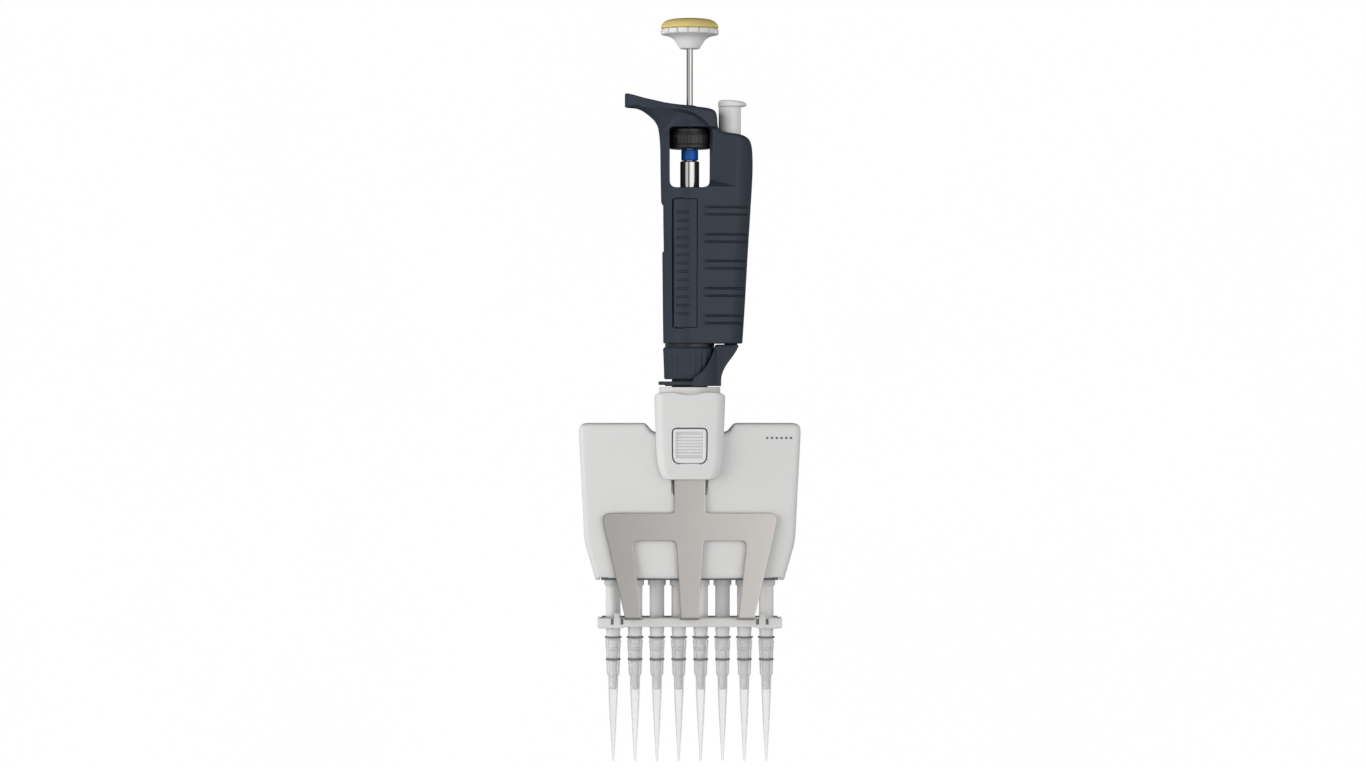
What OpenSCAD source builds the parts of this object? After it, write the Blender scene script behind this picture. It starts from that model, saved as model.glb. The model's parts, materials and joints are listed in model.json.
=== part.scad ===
// Eight-channel air-displacement pipette, 2 to 20 microlitres, hanging upright.
// Millimetres. +Z up, +X from the finger hook towards the ejector button,
// the flat front of the manifold faces -Y.
// Origin: middle of the flat face under the finger hook, where it hangs on a rest.

/* [Channels] */
// Number of channels in the row
channels = 8; // [4:2:8]
// Distance from one channel to the next
tip_pitch = 9; // [8.9:0.1:9.1]
// Radius of each piston
piston_r = 0.8; // [0.6:0.05:0.8]

/* [Plunger] */
// Radius of the push button
button_r = 11.95; // [11:0.05:13]
// Number of flutes round the push button
button_flutes = 16; // [12:1:24]
// Radius of the plunger rod
rod_r = 1.4; // [1.2:0.05:1.4]
// Travel to the second stop
plunger_travel = 14.5; // [12:0.5:14.5]

/* [Volume setting] */
// Axial travel of the micrometer screw over the whole volume range
screw_travel = 9; // [6:0.5:9]
// Radius of the micrometer screw
screw_r = 3.93; // [3.6:0.01:3.95]
// Radius of the digit drums
drum_r = 8.6; // [8:0.1:8.6]

/* [Handle] */
// Radius of the round side of the handle
handle_r = 12.6; // [12.4:0.1:13.2]
// Half width of the finger hook
hook_w = 8.5; // [7:0.5:10]
// Half width of the thumbwheel window
window_w = 8.2; // [8.2:0.05:8.6]

/* [Ejector] */
// Travel of the ejector
ejector_stroke = 9; // [6:0.5:9]
// Radius of the ejector button's stem
ejector_r = 4.6; // [4.4:0.05:4.7]
// Thickness of the fork's sheet
sheet = 0.8; // [0.8:0.1:1]

/* [Manifold] */
// Half depth of the manifold
half_depth = 11; // [11:0.1:11.2]
// Wall of the two covers
cover_wall = 1.6; // [1.2:0.1:1.6]

/* [Hidden] */
$fn = 64;

ax = 24.4;            // plunger axis, measured from the origin
ej = 16.5;            // ejector axis, measured from the plunger axis
run = 0.1;            // running fit
gap = 0.3;            // clearance of parts that pass each other
row_half = (channels - 1) / 2;
xs = [for (i = [0 : channels - 1]) (i - row_half) * tip_pitch];
post_x = 38.5;        // guide posts of the piston carrier
blowout = 4.5;        // travel between the first and the second stop
collar_top = -66.4 - screw_travel;
washer_top = collar_top - 3.9 - (plunger_travel - blowout);

// side outline of the handle, x and z, from the hook's tip round clockwise
handle_outline = [[-27, 0], [-26.9, 5], [-26.4, 5.8], [-24.4, 5.3],
  [-21.9, 4.5], [-19.5, 3.7], [-17, 3.1], [-14.5, 2.6], [-12, 1.95],
  [-9.6, 1.3], [-7.1, 0.7], [-4.6, 0.3], [-2.2, 0], [2.8, -0.3], [5.2, -0.5],
  [7.7, -0.9], [9.4, -1.4], [10.4, -2.2], [11, -3.4], [11.3, -8.6],
  [12.4, -9.9], [15.1, -10.6], [17.6, -10.9], [20.1, -11.3], [22.5, -11.9],
  [24, -12.9], [25, -14.3], [25.7, -16.5], [26, -20], [26, -24],
  [25.8, -30], [25.3, -38], [24.8, -46.3], [24, -58.7], [23.3, -71],
  [22.6, -83.4], [21.8, -95.5], [21.4, -97.2], [-10.5, -97.2],
  [-10.95, -95], [-11.1, -83.4], [-11.3, -60], [-11.8, -38], [-12, -30],
  [-12.15, -17], [-12.3, -13], [-12.9, -8.6], [-13.9, -6], [-16.6, -3.2],
  [-21.8, 0]];

// right half of the manifold's front outline, x and z, from the notch outwards
manifold_half = [[0, -133.6], [16.2, -133.6], [17.3, -132.9], [18.2, -131.3],
  [19, -130.3], [19.9, -129.9], [43.2, -129.9], [44.7, -130.5],
  [45.3, -132], [45.4, -133.4], [45.1, -141], [44.4, -153.4],
  [43.8, -165.7], [43.2, -177.6], [40.9, -186.3], [38.6, -194.1], [0, -194.1]];
cavity_half = [[0, -135.2], [17, -135.2], [18.8, -134.2], [20.2, -131.8],
  [42.5, -131.5], [43.6, -133], [43.4, -141], [42.8, -161.6],
  [41.8, -177.8], [36.9, -192.5], [36.5, -195], [0, -195]];

module at_axis() translate([ax, 0, 0]) children();

// plate in the XZ plane, between two values of y
module plate(points, y0, y1)
  translate([0, y1, 0]) rotate([90, 0, 0]) linear_extrude(y1 - y0) polygon(points);

module tube(r, bore, z0, z1)
  translate([0, 0, z0]) difference() {
    cylinder(r = r, h = z1 - z0);
    translate([0, 0, -1]) cylinder(r = bore, h = z1 - z0 + 2);
  }

module block(x0, x1, y0, y1, z0, z1)
  translate([x0, y0, z0]) cube([x1 - x0, y1 - y0, z1 - z0]);

module at_channels() for (x = xs) translate([x, 0, 0]) children();

function mirrored(half) = concat(half,
  [for (i = [len(half) - 1 : -1 : 0]) if (half[i][0] > 0) [-half[i][0], half[i][1]]]);

// plan of the handle: a large circle and a small one, joined by their tangents
function egg(r1, x2, r2, n) = let (a = acos((r1 - r2) / x2)) concat(
  [for (i = [0 : n]) let (t = a + (360 - 2 * a) * i / n) [r1 * cos(t), r1 * sin(t)]],
  [for (i = [0 : n / 2]) let (t = -a + 4 * a * i / n) [x2 + r2 * cos(t), r2 * sin(t)]]);

// height along a spring with closed ends, after u of n turns
function rise(u, n, w, len) = u < 1 ? 2.1 * w * u
  : u > n - 1 ? len - 2.1 * w * (n - u)
  : 2.1 * w + (len - 4.2 * w) * (u - 1) / (n - 2);

// round-wire compression spring between two heights
module coil(r, w, z0, z1, turns, sides = 6, steps = 16) {
  n = turns * steps;
  len = z1 - z0 - 2 * w;
  points = [for (i = [0 : n], s = [0 : sides - 1])
    let (t = 360 * i / steps, a = 360 * s / sides, q = r + w * cos(a))
    [q * cos(t), q * sin(t), z0 + w + rise(i / steps, turns, w, len) + w * sin(a)]];
  walls = [for (i = [0 : n - 1], s = [0 : sides - 1])
    let (a = i * sides + s, b = i * sides + (s + 1) % sides)
    each [[a, a + sides, b], [b, a + sides, b + sides]]];
  polyhedron(points, concat(walls,
    [[for (s = [0 : sides - 1]) s]],
    [[for (s = [sides - 1 : -1 : 0]) n * sides + s]]));
}

// ---------- handle ----------

module handle_body() {
  intersection() {
    plate(handle_outline, -14, 14);
    translate([0, 0, -98]) linear_extrude(110) polygon(egg(handle_r, 16.7, 9.6, 36));
  }
  intersection() {
    plate(handle_outline, -14, 14);
    translate([0, 0, -14]) linear_extrude(30) union() {
      translate([-27 + hook_w, 0]) circle(r = hook_w);
      translate([-27 + hook_w, -hook_w]) square([27 - hook_w, 2 * hook_w]);
    }
  }
}

module window_cut()
  union() {
    block(-window_w, window_w, -15, 9, -12.2, -8.4);
    block(-window_w, window_w, -15, 15, -31, -12.1);
    block(-window_w + 2.3, window_w - 2.3, -15, 15, -33.3, -30.9);
    for (s = [-1, 1]) translate([s * (window_w - 2.3), 15, -31])
      rotate([90, 0, 0]) cylinder(r = 2.3, h = 30);
    // the wheel's rim is let into both side walls
    translate([0, 0, -17.4]) cylinder(r = 8.8, h = 6.4);
  }

module handle_shell() color([0.2, 0.23, 0.27]) at_axis() difference() {
  handle_body();
  window_cut();
  // seat of the rod's upper guide
  translate([0, 0, -9]) cylinder(r = 3.25, h = 14);
  // passage of the micrometer screw
  translate([0, 0, -37]) cylinder(r = 4.25, h = 6);
  // chamber of the counter, the nut and the springs
  translate([0, 0, -98]) cylinder(r = 9.5, h = 61.5);
  // opening of the counter
  block(-14, -9, -4.2, 4.2, -59.2, -40.1);
  // ejector guide, spring chamber, rod passage and stem pocket
  translate([ej, 0, -24.2]) cylinder(r = 5.7, h = 20);
  translate([ej, 0, -60]) cylinder(r = 5.05, h = 40);
  translate([ej, 0, -98]) cylinder(r = 1.7, h = 40);
  translate([ej + 0.5, 0, -98]) cylinder(r = 2.95, h = 4.1);
  // grip grooves in both cheeks of the ejector side
  for (z = [-42.9, -54.1, -65, -76.2, -87.4], e = [-1.7, 1.7], s = [-1, 1])
    block(13, 28, s * 9.4 - 1, s * 9.4 + 1, z + e - 0.25, z + e + 0.25);
}

// threaded lower end, on which the coupling nut runs; its flange meets the shell
module handle_insert() color([0.14, 0.14, 0.13]) at_axis() difference() {
  union() {
    tube(9.45, 7.3, -88, -84);
    tube(8.9, 7.3, -104, -88);
    tube(10.15, 7.3, -98.6, -97.3);
    tube(8, 1.5, -104, -102.5);
  }
  // cross slots for the assembly key
  for (a = [0, 90]) rotate(a) block(-10, 10, -1, 1, -85.2, -83);
}

module rod_guide_bush() color([0.85, 0.85, 0.83]) at_axis() {
  tube(3.2, 1.5, -6.6, -0.6);
  tube(2.6, 1.5, -8.2, -6.6);
}

module volumeter_housing() color([0.86, 0.87, 0.88]) at_axis() {
  difference() {
    tube(9.4, 8.9, -61.6, -39.2);
    block(-10, -7, -3.9, 3.9, -58.6, -40.9);
  }
  tube(9, 4.3, -61.6, -60.4);
  tube(4.9, 4.3, -60.5, -39.2);
}

module volumeter_window() color([0.8, 0.9, 0.95, 0.4]) at_axis() intersection() {
  tube(11.25, 9.7, -59, -40.3);
  block(-12, -9, -4, 4, -59, -40.3);
}

module micrometer_nut() color([0.8, 0.68, 0.38]) at_axis() difference() {
  union() {
    tube(9.4, screw_r + 0.07, -66, -62);
    tube(7, screw_r + 0.07, -70, -66);
  }
  for (a = [45 : 90 : 315]) rotate(a) translate([8, 0, -67]) cylinder(r = 0.8, h = 6);
}

module ejector_guide_bush() color([0.82, 0.82, 0.8]) at_axis() translate([ej, 0, 0])
  tube(5.65, ejector_r + 0.08, -24.1, -11.6);

module ejector_spring() color([0.7, 0.72, 0.75]) at_axis() translate([ej, 0, 0])
  coil(3.3, 0.5, -59.95, -22.1, 12);

module plunger_spring() color([0.7, 0.72, 0.75]) at_axis()
  coil(5.9, 0.5, -102.4, collar_top - 1.7, 8);

module blowout_spring() color([0.7, 0.72, 0.75]) at_axis()
  coil(3.4, 0.45, -102.4, washer_top - 1.5, 6);

// second-stop washer, pushed down by the collar only for the blow-out
module blowout_washer() color([0.7, 0.7, 0.72]) at_axis()
  tube(4.5, rod_r + gap, washer_top - 1.4, washer_top);

// ---------- volume setting ----------

module thumbwheel() color([0.16, 0.16, 0.15]) at_axis() difference() {
  union() {
    translate([0, 0, -10.5]) cylinder(r = 7.05, h = 1.7);
    translate([0, 0, -11.4]) cylinder(r = 7.7, h = 1);
    translate([0, 0, -17.1]) cylinder(r = 8.4, h = 5.8);
  }
  translate([0, 0, -18]) cylinder(r = 2.25, h = 10, $fn = 6);
  for (a = [0 : 15 : 345]) rotate(a) translate([8.7, 0, -15.2]) cylinder(r = 0.5, h = 3.5);
}

// hexagonal tube that turns the screw and lets it slide
module drive_sleeve() color([0.6, 0.6, 0.62]) at_axis() difference() {
  translate([0, 0, -36]) cylinder(r = 2.2, h = 27, $fn = 6);
  translate([0, 0, -37]) cylinder(r = rod_r + run, h = 29);
}

module friction_ring() color([0.12, 0.35, 0.68]) at_axis() difference() {
  rotate_extrude() polygon([[1, -21.9], [3.2, -21.9], [3.5, -21.6], [3.5, -17.7],
    [3.2, -17.4], [1, -17.4]]);
  translate([0, 0, -22]) cylinder(r = 2.22, h = 6, $fn = 6);
}

module micrometer_screw() color([0.8, 0.8, 0.8]) at_axis() difference() {
  rotate_extrude() polygon([[0, -66], [screw_r - 0.4, -66], [screw_r, -65.6],
    [screw_r, -22.5], [screw_r - 0.3, -22.2], [0, -22.2]]);
  translate([0, 0, -36.6]) cylinder(r = 2.55, h = 16, $fn = 6);
  translate([0, 0, -67]) cylinder(r = rod_r + gap, h = 40);
}

// digit drum: a rim for the figures, a web and a hub
module drum(z) translate([0, 0, z]) rotate_extrude() polygon([[5, 0], [6, 0],
  [6, 1.2], [7.6, 1.2], [7.6, 0], [drum_r, 0], [drum_r, 5.9], [7.6, 5.9],
  [7.6, 3.4], [6, 3.4], [6, 5.9], [5, 5.9]]);

module drum_tens() color([0.93, 0.93, 0.9]) at_axis() drum(-47.3);
module drum_units() color([0.93, 0.93, 0.9]) at_axis() drum(-53.6);
module drum_tenths() color([0.85, 0.25, 0.2]) at_axis() drum(-59.9);

// ---------- plunger ----------

module push_button() color([0.92, 0.92, 0.92]) at_axis() difference() {
  rotate_extrude() polygon([[0, 24.1], [3.9, 24.1], [4.3, 24.6], [4.95, 25.3],
    [5.35, 26.1], [5.8, 27], [6.6, 27.8], [7.6, 28.5], [10.5, 29.2],
    [button_r - 0.2, 29.4], [button_r, 29.7], [button_r, 32], [0, 32]]);
  for (i = [0 : button_flutes - 1]) rotate(360 * i / button_flutes)
    translate([button_r + 0.15, 0, 29]) cylinder(r = 0.65, h = 4);
  translate([0, 0, 23]) cylinder(r = rod_r + 0.02, h = 7);
}

module button_cap() color([0.8, 0.72, 0.4]) at_axis() rotate_extrude()
  polygon([[0, 32.05], [button_r - 0.4, 32.05], [button_r, 32.4],
    [button_r - 0.1, 33.1], [button_r - 0.4, 33.9], [button_r - 1.1, 34.9],
    [button_r - 2.3, 35.7], [button_r - 4.2, 36.3], [5.2, 36.5], [0, 36.6]]);

module plunger_rod() color([0.75, 0.76, 0.78]) at_axis()
  translate([0, 0, -137.9]) cylinder(r = rod_r, h = 167.7);

module stop_collar() color([0.8, 0.68, 0.38]) at_axis() {
  tube(6.6, rod_r + 0.02, collar_top - 1.6, collar_top);
  tube(3.2, rod_r + 0.02, collar_top - 3.6, collar_top - 1.6);
}

// ---------- joint between handle and manifold ----------

module coupling_nut() color([0.2, 0.23, 0.27]) at_axis() difference() {
  rotate_extrude() polygon([[7.7, -111.9], [10.2, -111.9], [10.55, -111.6],
    [11, -99.9], [10.3, -98.95], [9, -98.95], [9, -108], [7.7, -108]]);
  for (a = [0 : 15 : 345]) rotate(a) translate([11.2, 0, -109.6]) cylinder(r = 0.7, h = 8.2);
}

module thrust_washer() color([0.95, 0.95, 0.92]) at_axis() tube(8.8, 7.5, -107.8, -107.2);

module swivel_neck() color([0.1, 0.1, 0.11]) at_axis() {
  tube(8.8, 4.5, -107.1, -104.4);
  tube(7.4, 4.5, -137.5, -107);
  difference() {
    block(-12, 12, -7.2, 7.2, -137.5, -135.5);
    translate([0, 0, -138]) cylinder(r = 7.2, h = 4);
  }
}

// ---------- manifold ----------

// where the four cover screws sit, x and z
screw_places = [[-26, -135.4], [26, -135.4], [-38, -176], [38, -176]];

module along_y(x, z, r, y0, y1)
  translate([x, y1, z]) rotate([90, 0, 0]) cylinder(r = r, h = y1 - y0);

module cover_bosses(y0, y1, bore) for (p = screw_places) difference() {
  along_y(p[0], p[1], 2.7, y0, y1);
  along_y(p[0], p[1], bore, y0 - 1, y1 + 1);
}

module manifold_front_cover() color([0.86, 0.86, 0.85]) at_axis() {
  difference() {
    plate(mirrored(manifold_half), -half_depth, -0.05);
    difference() {
      plate(mirrored(cavity_half), -half_depth + cover_wall, 1);
      // floor of the trough in which the ejector's tongue slides
      block(-8.7, 8.7, -half_depth, -half_depth + 2 + cover_wall, -160.8, -130);
    }
    block(-6.9, 6.9, -half_depth - 1, -half_depth + 2, -159.2, -130);
    translate([0, 0, -140]) cylinder(r = 7.5, h = 12);
  }
  cover_bosses(-half_depth + cover_wall - 0.1, -0.05, 1.25);
}

module manifold_rear_cover() color([0.86, 0.86, 0.85]) at_axis() difference() {
  union() {
    difference() {
      plate(mirrored(manifold_half), 0.05, half_depth);
      plate(mirrored(cavity_half), -1, half_depth - cover_wall);
      translate([0, 0, -140]) cylinder(r = 7.5, h = 12);
    }
    cover_bosses(0.05, half_depth - cover_wall + 0.1, 1.35);
  }
  for (p = screw_places) {
    along_y(p[0], p[1], 1.35, 0, half_depth + 1);
    along_y(p[0], p[1], 2.4, half_depth - 2.6, half_depth + 1);
  }
}

module cover_screws() color([0.6, 0.6, 0.62]) at_axis() for (p = screw_places) difference() {
  union() {
    along_y(p[0], p[1], 1.2, -half_depth + 2.4, half_depth - 2.5);
    along_y(p[0], p[1], 2.2, half_depth - 2.55, half_depth - 0.8);
  }
  translate([p[0], half_depth + 0.2, p[1]]) rotate([90, 0, 0])
    cylinder(r = 1, h = 2, $fn = 6);
}

module nozzle_plate() color([0.3, 0.31, 0.33]) at_axis() difference() {
  block(-36.3, 36.3, -half_depth + cover_wall + 0.1, half_depth - cover_wall - 0.1,
    -194.1, -189.6);
  at_channels() translate([0, 0, -195]) cylinder(r = 3.05, h = 6);
}

module seal_plate() color([0.78, 0.79, 0.8]) at_axis() difference() {
  block(-42.2, 42.2, -7, 7, -165.5, -159);
  at_channels() {
    translate([0, 0, -166]) cylinder(r = 2.75, h = 5.4);
    translate([0, 0, -166]) cylinder(r = 1.1, h = 8);
  }
  for (s = [-1, 1]) translate([s * post_x, 0, 0]) {
    translate([0, 0, -165]) cylinder(r = 3.3, h = 7);
    translate([0, 0, -166]) cylinder(r = 1.52, h = 8);
  }
}

// nozzle with its cylinder above and the cone for the tip below
module tip_holders() color([0.78, 0.78, 0.77]) at_axis() at_channels() rotate_extrude()
  polygon([[piston_r + run, -239.5], [1.15, -239.5], [1.35, -238.7], [2.05, -223.4],
    [2.6, -223.2], [2.62, -222.2], [2.12, -222], [2.2, -219.4], [2.7, -217.9],
    [2.75, -217.4], [3, -214], [3, -196.5], [3.7, -196.5], [3.7, -194.3],
    [3, -194.3], [3, -187], [2.4, -187], [2.4, -164], [piston_r + run, -164]]);

module piston_seals() color([0.95, 0.95, 0.95]) at_axis() at_channels()
  tube(1.6, piston_r + 0.05, -163.8, -160.8);

module seal_orings() color([0.12, 0.12, 0.12]) at_axis() at_channels()
  translate([0, 0, -162.3]) rotate_extrude() translate([2.16, 0]) circle(r = 0.5);

module guide_posts() color([0.75, 0.76, 0.78]) at_axis() for (s = [-1, 1])
  translate([s * post_x, 0, -165.4]) cylinder(r = 1.5, h = 29);

module return_springs() color([0.7, 0.72, 0.75]) at_axis() for (s = [-1, 1])
  translate([s * post_x, 0, 0]) coil(2.5, 0.35, -164.9, -144.1, 8);

module piston_carrier() color([0.35, 0.36, 0.38]) at_axis() difference() {
  block(-41.4, 41.4, -5, 5, -144, -139.5);
  at_channels() translate([0, 0, -145]) {
    cylinder(r = piston_r + 0.05, h = 8);
    cylinder(r = 1.55, h = 3.05);
  }
  for (s = [-1, 1]) translate([s * post_x, 0, -145]) cylinder(r = 2.42, h = 8);
}

module carrier_pad() color([0.8, 0.68, 0.38]) at_axis()
  translate([0, 0, -139.5]) cylinder(r = 3.8, h = 1.3);

module carrier_bushes() color([0.85, 0.72, 0.45]) at_axis() for (s = [-1, 1])
  translate([s * post_x, 0, 0]) tube(2.4, 1.56, -144, -139.5);

module pistons() color([0.82, 0.83, 0.85]) at_axis() at_channels() {
  translate([0, 0, -168]) cylinder(r = piston_r, h = 27.5);
  translate([0, 0, -144]) cylinder(r = 1.5, h = 2);
}

// ---------- ejector ----------

module ejector_button() color([0.82, 0.82, 0.82]) at_axis() difference() {
  union() {
    translate([ej, 0, -22]) cylinder(r = ejector_r, h = 22.4);
    translate([ej + 1.1, 0, 0.2]) cylinder(r = 5.9, h = 2.7);
  }
  translate([ej, 0, -23]) cylinder(r = 1.62, h = 12);
}

module ejector_rod() color([0.75, 0.76, 0.78]) at_axis()
  translate([ej, 0, -100.5]) cylinder(r = 1.6, h = 88.5);

module ejector_arm() color([0.2, 0.23, 0.27]) at_axis() difference() {
  union() {
    intersection() {
      plate([[0.9, -114], [0.9, -111.4], [3.8, -109.7], [6.7, -106.8],
        [8.8, -102.7], [10.2, -98.4], [10.4, -97.7], [20.1, -97.7],
        [19.9, -98.6], [19.3, -100.1], [17.6, -102.6], [15.3, -105.6],
        [14, -107.9], [13.2, -110], [12.95, -111.5], [12.95, -114]], -14, 14);
      union() {
        translate([0, 0, -115]) cylinder(r = 12.9, h = 20);
        block(8, 21, -6.2, 6.2, -115, -95);
      }
    }
    translate([ej + 0.4, 0, -98.2]) cylinder(r = 2.6, h = 3.8);
    translate([0, 0, -114.25]) cylinder(r = 12.85, h = 1.45);
    translate([0, 0, -114.7]) cylinder(r = 10.2, h = 1);
  }
  translate([0, 0, -112.8]) cylinder(r = 11.4, h = 20);
  translate([0, 0, -116]) cylinder(r = 7.7, h = 8);
  translate([ej, 0, -100.6]) cylinder(r = 1.62, h = 8);
}

module rounded_plan(x, y0, y1, r) union() {
  translate([-x + r, y0]) square([2 * (x - r), y1 - y0]);
  translate([-x, y0 + r]) square([2 * x, y1 - y0 - 2 * r]);
  for (s = [-1, 1], y = [y0 + r, y1 - r]) translate([s * (x - r), y]) circle(r = r);
}

module ejector_collar() color([0.86, 0.86, 0.85]) at_axis() difference() {
  union() {
    translate([0, 0, -118.6]) cylinder(r = 12.6, h = 3.5);
    intersection() {
      union() {
        translate([0, 0, -133.2 + ejector_stroke]) linear_extrude(16.4 - ejector_stroke)
          rounded_plan(14.6, -15.5, 12.6, 4.2);
        translate([0, 0, -153.4]) linear_extrude(30) intersection() {
          rounded_plan(14.6, -15.5, 12.6, 4.2);
          translate([-20, -20]) square([40, 8.7]);
        }
        // tongue that runs in the trough of the front cover
        block(-6.6, 6.6, -12, -9.4, -149.6, -122);
      }
      plate(mirrored([[0, -118], [6.5, -117.2], [12.6, -117.6], [14, -118.4],
        [14.5, -119.2], [14.3, -126], [14, -133], [13.7, -141], [13.3, -146],
        [12.3, -149.3], [11.4, -151.8], [10.4, -152.8], [0, -152.85]]), -16, 14);
    }
  }
  translate([0, 0, -130]) cylinder(r = 7.7, h = 20);
  // seat of the release button
  block(-7.3, 7.3, -17, -12.5, -146.6, -131.7);
  // slot of the fork's stem, pocket of the latch pin and of its spring
  block(-6.5, 6.5, -12.7, -11, -154, -137.7);
  along_y(0, -143, 1.6, -12, -9.8);
  along_y(0, -134.6, 2, -12.8, -9.8);
}

// sheet with three legs and bent feet; the keyhole takes the release button's pin
module ejector_fork() color([0.68, 0.66, 0.63]) at_axis() {
  y0 = -12.3;
  difference() {
    union() {
      plate(mirrored([[0, -138], [5.4, -138], [6.35, -139], [6.35, -166.5],
        [33.4, -166.5], [34.9, -167.4], [35.5, -169], [35.4, -170.6],
        [26.45, -209.6], [19.9, -209.6], [23.2, -179.6], [22.7, -178.3],
        [21.5, -177.9], [6.6, -177.9], [5.5, -179], [3.6, -209.6],
        [0, -209.6]]), y0, y0 + sheet);
      for (f = [[-26.45, -19.9], [-3.6, 3.6], [19.9, 26.45]])
        block(f[0], f[1], y0, -6, -210.3, -210.3 + sheet);
      block(-36.2, 36.2, -6.4, 5.4, -210.3, -210.3 + sheet);
    }
    along_y(0, -143, 1.5, -14, -10);
    block(-1.15, 1.15, -14, -10, -143, -137);
    at_channels() translate([0, 0, -213]) cylinder(r = 3.35, h = 6);
  }
}

module stripper_bar() color([0.86, 0.86, 0.85]) at_axis() difference() {
  union() {
    block(-37.9, 37.9, -7, 6, -213.5, -210.35);
    for (s = [-1, 1]) block(s < 0 ? -37.9 : 27.2, s < 0 ? -27.2 : 37.9, -7, 6, -214.1, -213.4);
    // rims between the fork's feet, front and back
    for (s = [-1, 1]) {
      block(s * 11.6 - 7.6, s * 11.6 + 7.6, -7, -6.5, -210.4, -209.95);
      block(s * 32.3 - 5.6, s * 32.3 + 5.6, -7, -6.5, -210.4, -209.95);
    }
    block(-37.9, 37.9, 5.5, 6, -210.4, -209.95);
    // snap tabs that hold the fork's foot
    for (s = [-1, 1]) block(s * 29.8 - 1.2, s * 29.8 + 1.2, -7, -6.5, -210.4, -207.7);
    for (s = [-1, 1]) block(s * 29.8 - 1.2, s * 29.8 + 1.2, 5.5, 6, -210.4, -207.7);
  }
  at_channels() translate([0, 0, -216]) cylinder(r = 3.35, h = 8);
  for (s = [-1, 1], e = [-2, 2]) block(s * 29.75 + e - 0.5, s * 29.75 + e + 0.5, -8, -5.6, -212.2, -209.8);
}

module release_button() color([0.9, 0.9, 0.9]) at_axis() {
  difference() {
    block(-6.8, 6.8, -15.6, -13.7, -146.1, -132.2);
    for (i = [0 : 6]) block(-5.6, 5.6, -16, -15.2, -134.3 - 1.575 * i, -133.6 - 1.575 * i);
  }
  along_y(0, -143, 0.95, -13.8, -12.3);
  along_y(0, -143, 1.4, -12.35, -11.35);
}

module release_spring() color([0.7, 0.72, 0.75]) at_axis()
  translate([0, -9.95, -134.6]) rotate([90, 0, 0]) coil(1.4, 0.2, 0, 3.7, 5);

// ---------- tips ----------

module tips() color([0.9, 0.92, 0.93, 0.5]) at_axis() at_channels() rotate_extrude()
  polygon([[0.25, -268.9], [0.45, -268.9], [1.38, -252.8], [1.68, -246.9],
    [1.93, -241], [2.04, -233.7], [2.54, -232.9], [2.82, -228.8], [3.03, -228.7],
    [3.03, -227.7], [2.98, -227.6], [3.1, -221.3], [3.4, -221.1],
    [3.4, -219.9], [3.15, -219.8], [3.15, -218.8], [3.5, -218.6],
    [3.5, -217.6], [2.85, -217.6], [2.78, -221.2], [2.68, -227.6],
    [2.34, -232.6], [1.8, -233.5], [1.66, -241], [1.4, -246.9],
    [1.1, -252.8]]);

handle_shell();
handle_insert();
rod_guide_bush();
volumeter_housing();
volumeter_window();
micrometer_nut();
ejector_guide_bush();
ejector_spring();
plunger_spring();
blowout_spring();
blowout_washer();
thumbwheel();
drive_sleeve();
friction_ring();
micrometer_screw();
drum_tens();
drum_units();
drum_tenths();
push_button();
button_cap();
plunger_rod();
stop_collar();
coupling_nut();
thrust_washer();
swivel_neck();
manifold_front_cover();
manifold_rear_cover();
nozzle_plate();
seal_plate();
tip_holders();
piston_seals();
seal_orings();
guide_posts();
return_springs();
cover_screws();
piston_carrier();
carrier_pad();
carrier_bushes();
pistons();
ejector_button();
ejector_rod();
ejector_arm();
ejector_collar();
ejector_fork();
stripper_bar();
release_button();
release_spring();
tips();
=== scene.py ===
import json
import math

import bmesh
import bpy
import numpy as np
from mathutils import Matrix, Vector


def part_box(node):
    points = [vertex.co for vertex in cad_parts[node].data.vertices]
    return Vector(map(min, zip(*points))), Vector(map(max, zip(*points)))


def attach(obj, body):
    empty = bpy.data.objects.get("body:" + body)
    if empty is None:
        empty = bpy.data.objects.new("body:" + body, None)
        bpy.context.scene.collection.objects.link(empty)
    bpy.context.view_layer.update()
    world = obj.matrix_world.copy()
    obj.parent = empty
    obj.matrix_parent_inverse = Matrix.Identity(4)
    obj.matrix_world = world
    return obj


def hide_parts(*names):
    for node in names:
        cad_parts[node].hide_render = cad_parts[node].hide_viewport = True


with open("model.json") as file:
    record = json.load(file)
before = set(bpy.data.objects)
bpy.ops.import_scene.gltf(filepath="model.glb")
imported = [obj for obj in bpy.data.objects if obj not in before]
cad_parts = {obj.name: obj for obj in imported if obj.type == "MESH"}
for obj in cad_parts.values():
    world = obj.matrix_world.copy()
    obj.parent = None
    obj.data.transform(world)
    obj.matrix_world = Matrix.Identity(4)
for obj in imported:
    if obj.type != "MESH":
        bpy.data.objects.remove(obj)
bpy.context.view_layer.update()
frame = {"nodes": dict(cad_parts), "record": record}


_lo, _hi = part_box("plunger_rod")
AX = (_lo.x + _hi.x) / 2 * 1000          # plunger axis in the row frame, mm
_lo, _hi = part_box("ejector_rod")
EJ = (_lo.x + _hi.x) / 2 * 1000 - AX     # ejector axis from the plunger axis, mm
XS = [(i - 3.5) * 9.0 for i in range(8)]

# ------------------------------------------------------------------ fields
# Every field below works in millimetres from the plunger axis, and is
# negative inside. Arguments may be grids or lists of points.


def smax(a, b, k):
    h = np.maximum(k - np.abs(a - b), 0) / k
    return np.maximum(a, b) + h * h * k * 0.25


def smin(a, b, k):
    return -smax(-a, -b, k)


def ramp(v, a, b):
    t = np.clip((v - a) / (b - a), 0, 1)
    return t * t * (3 - 2 * t)


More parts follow.
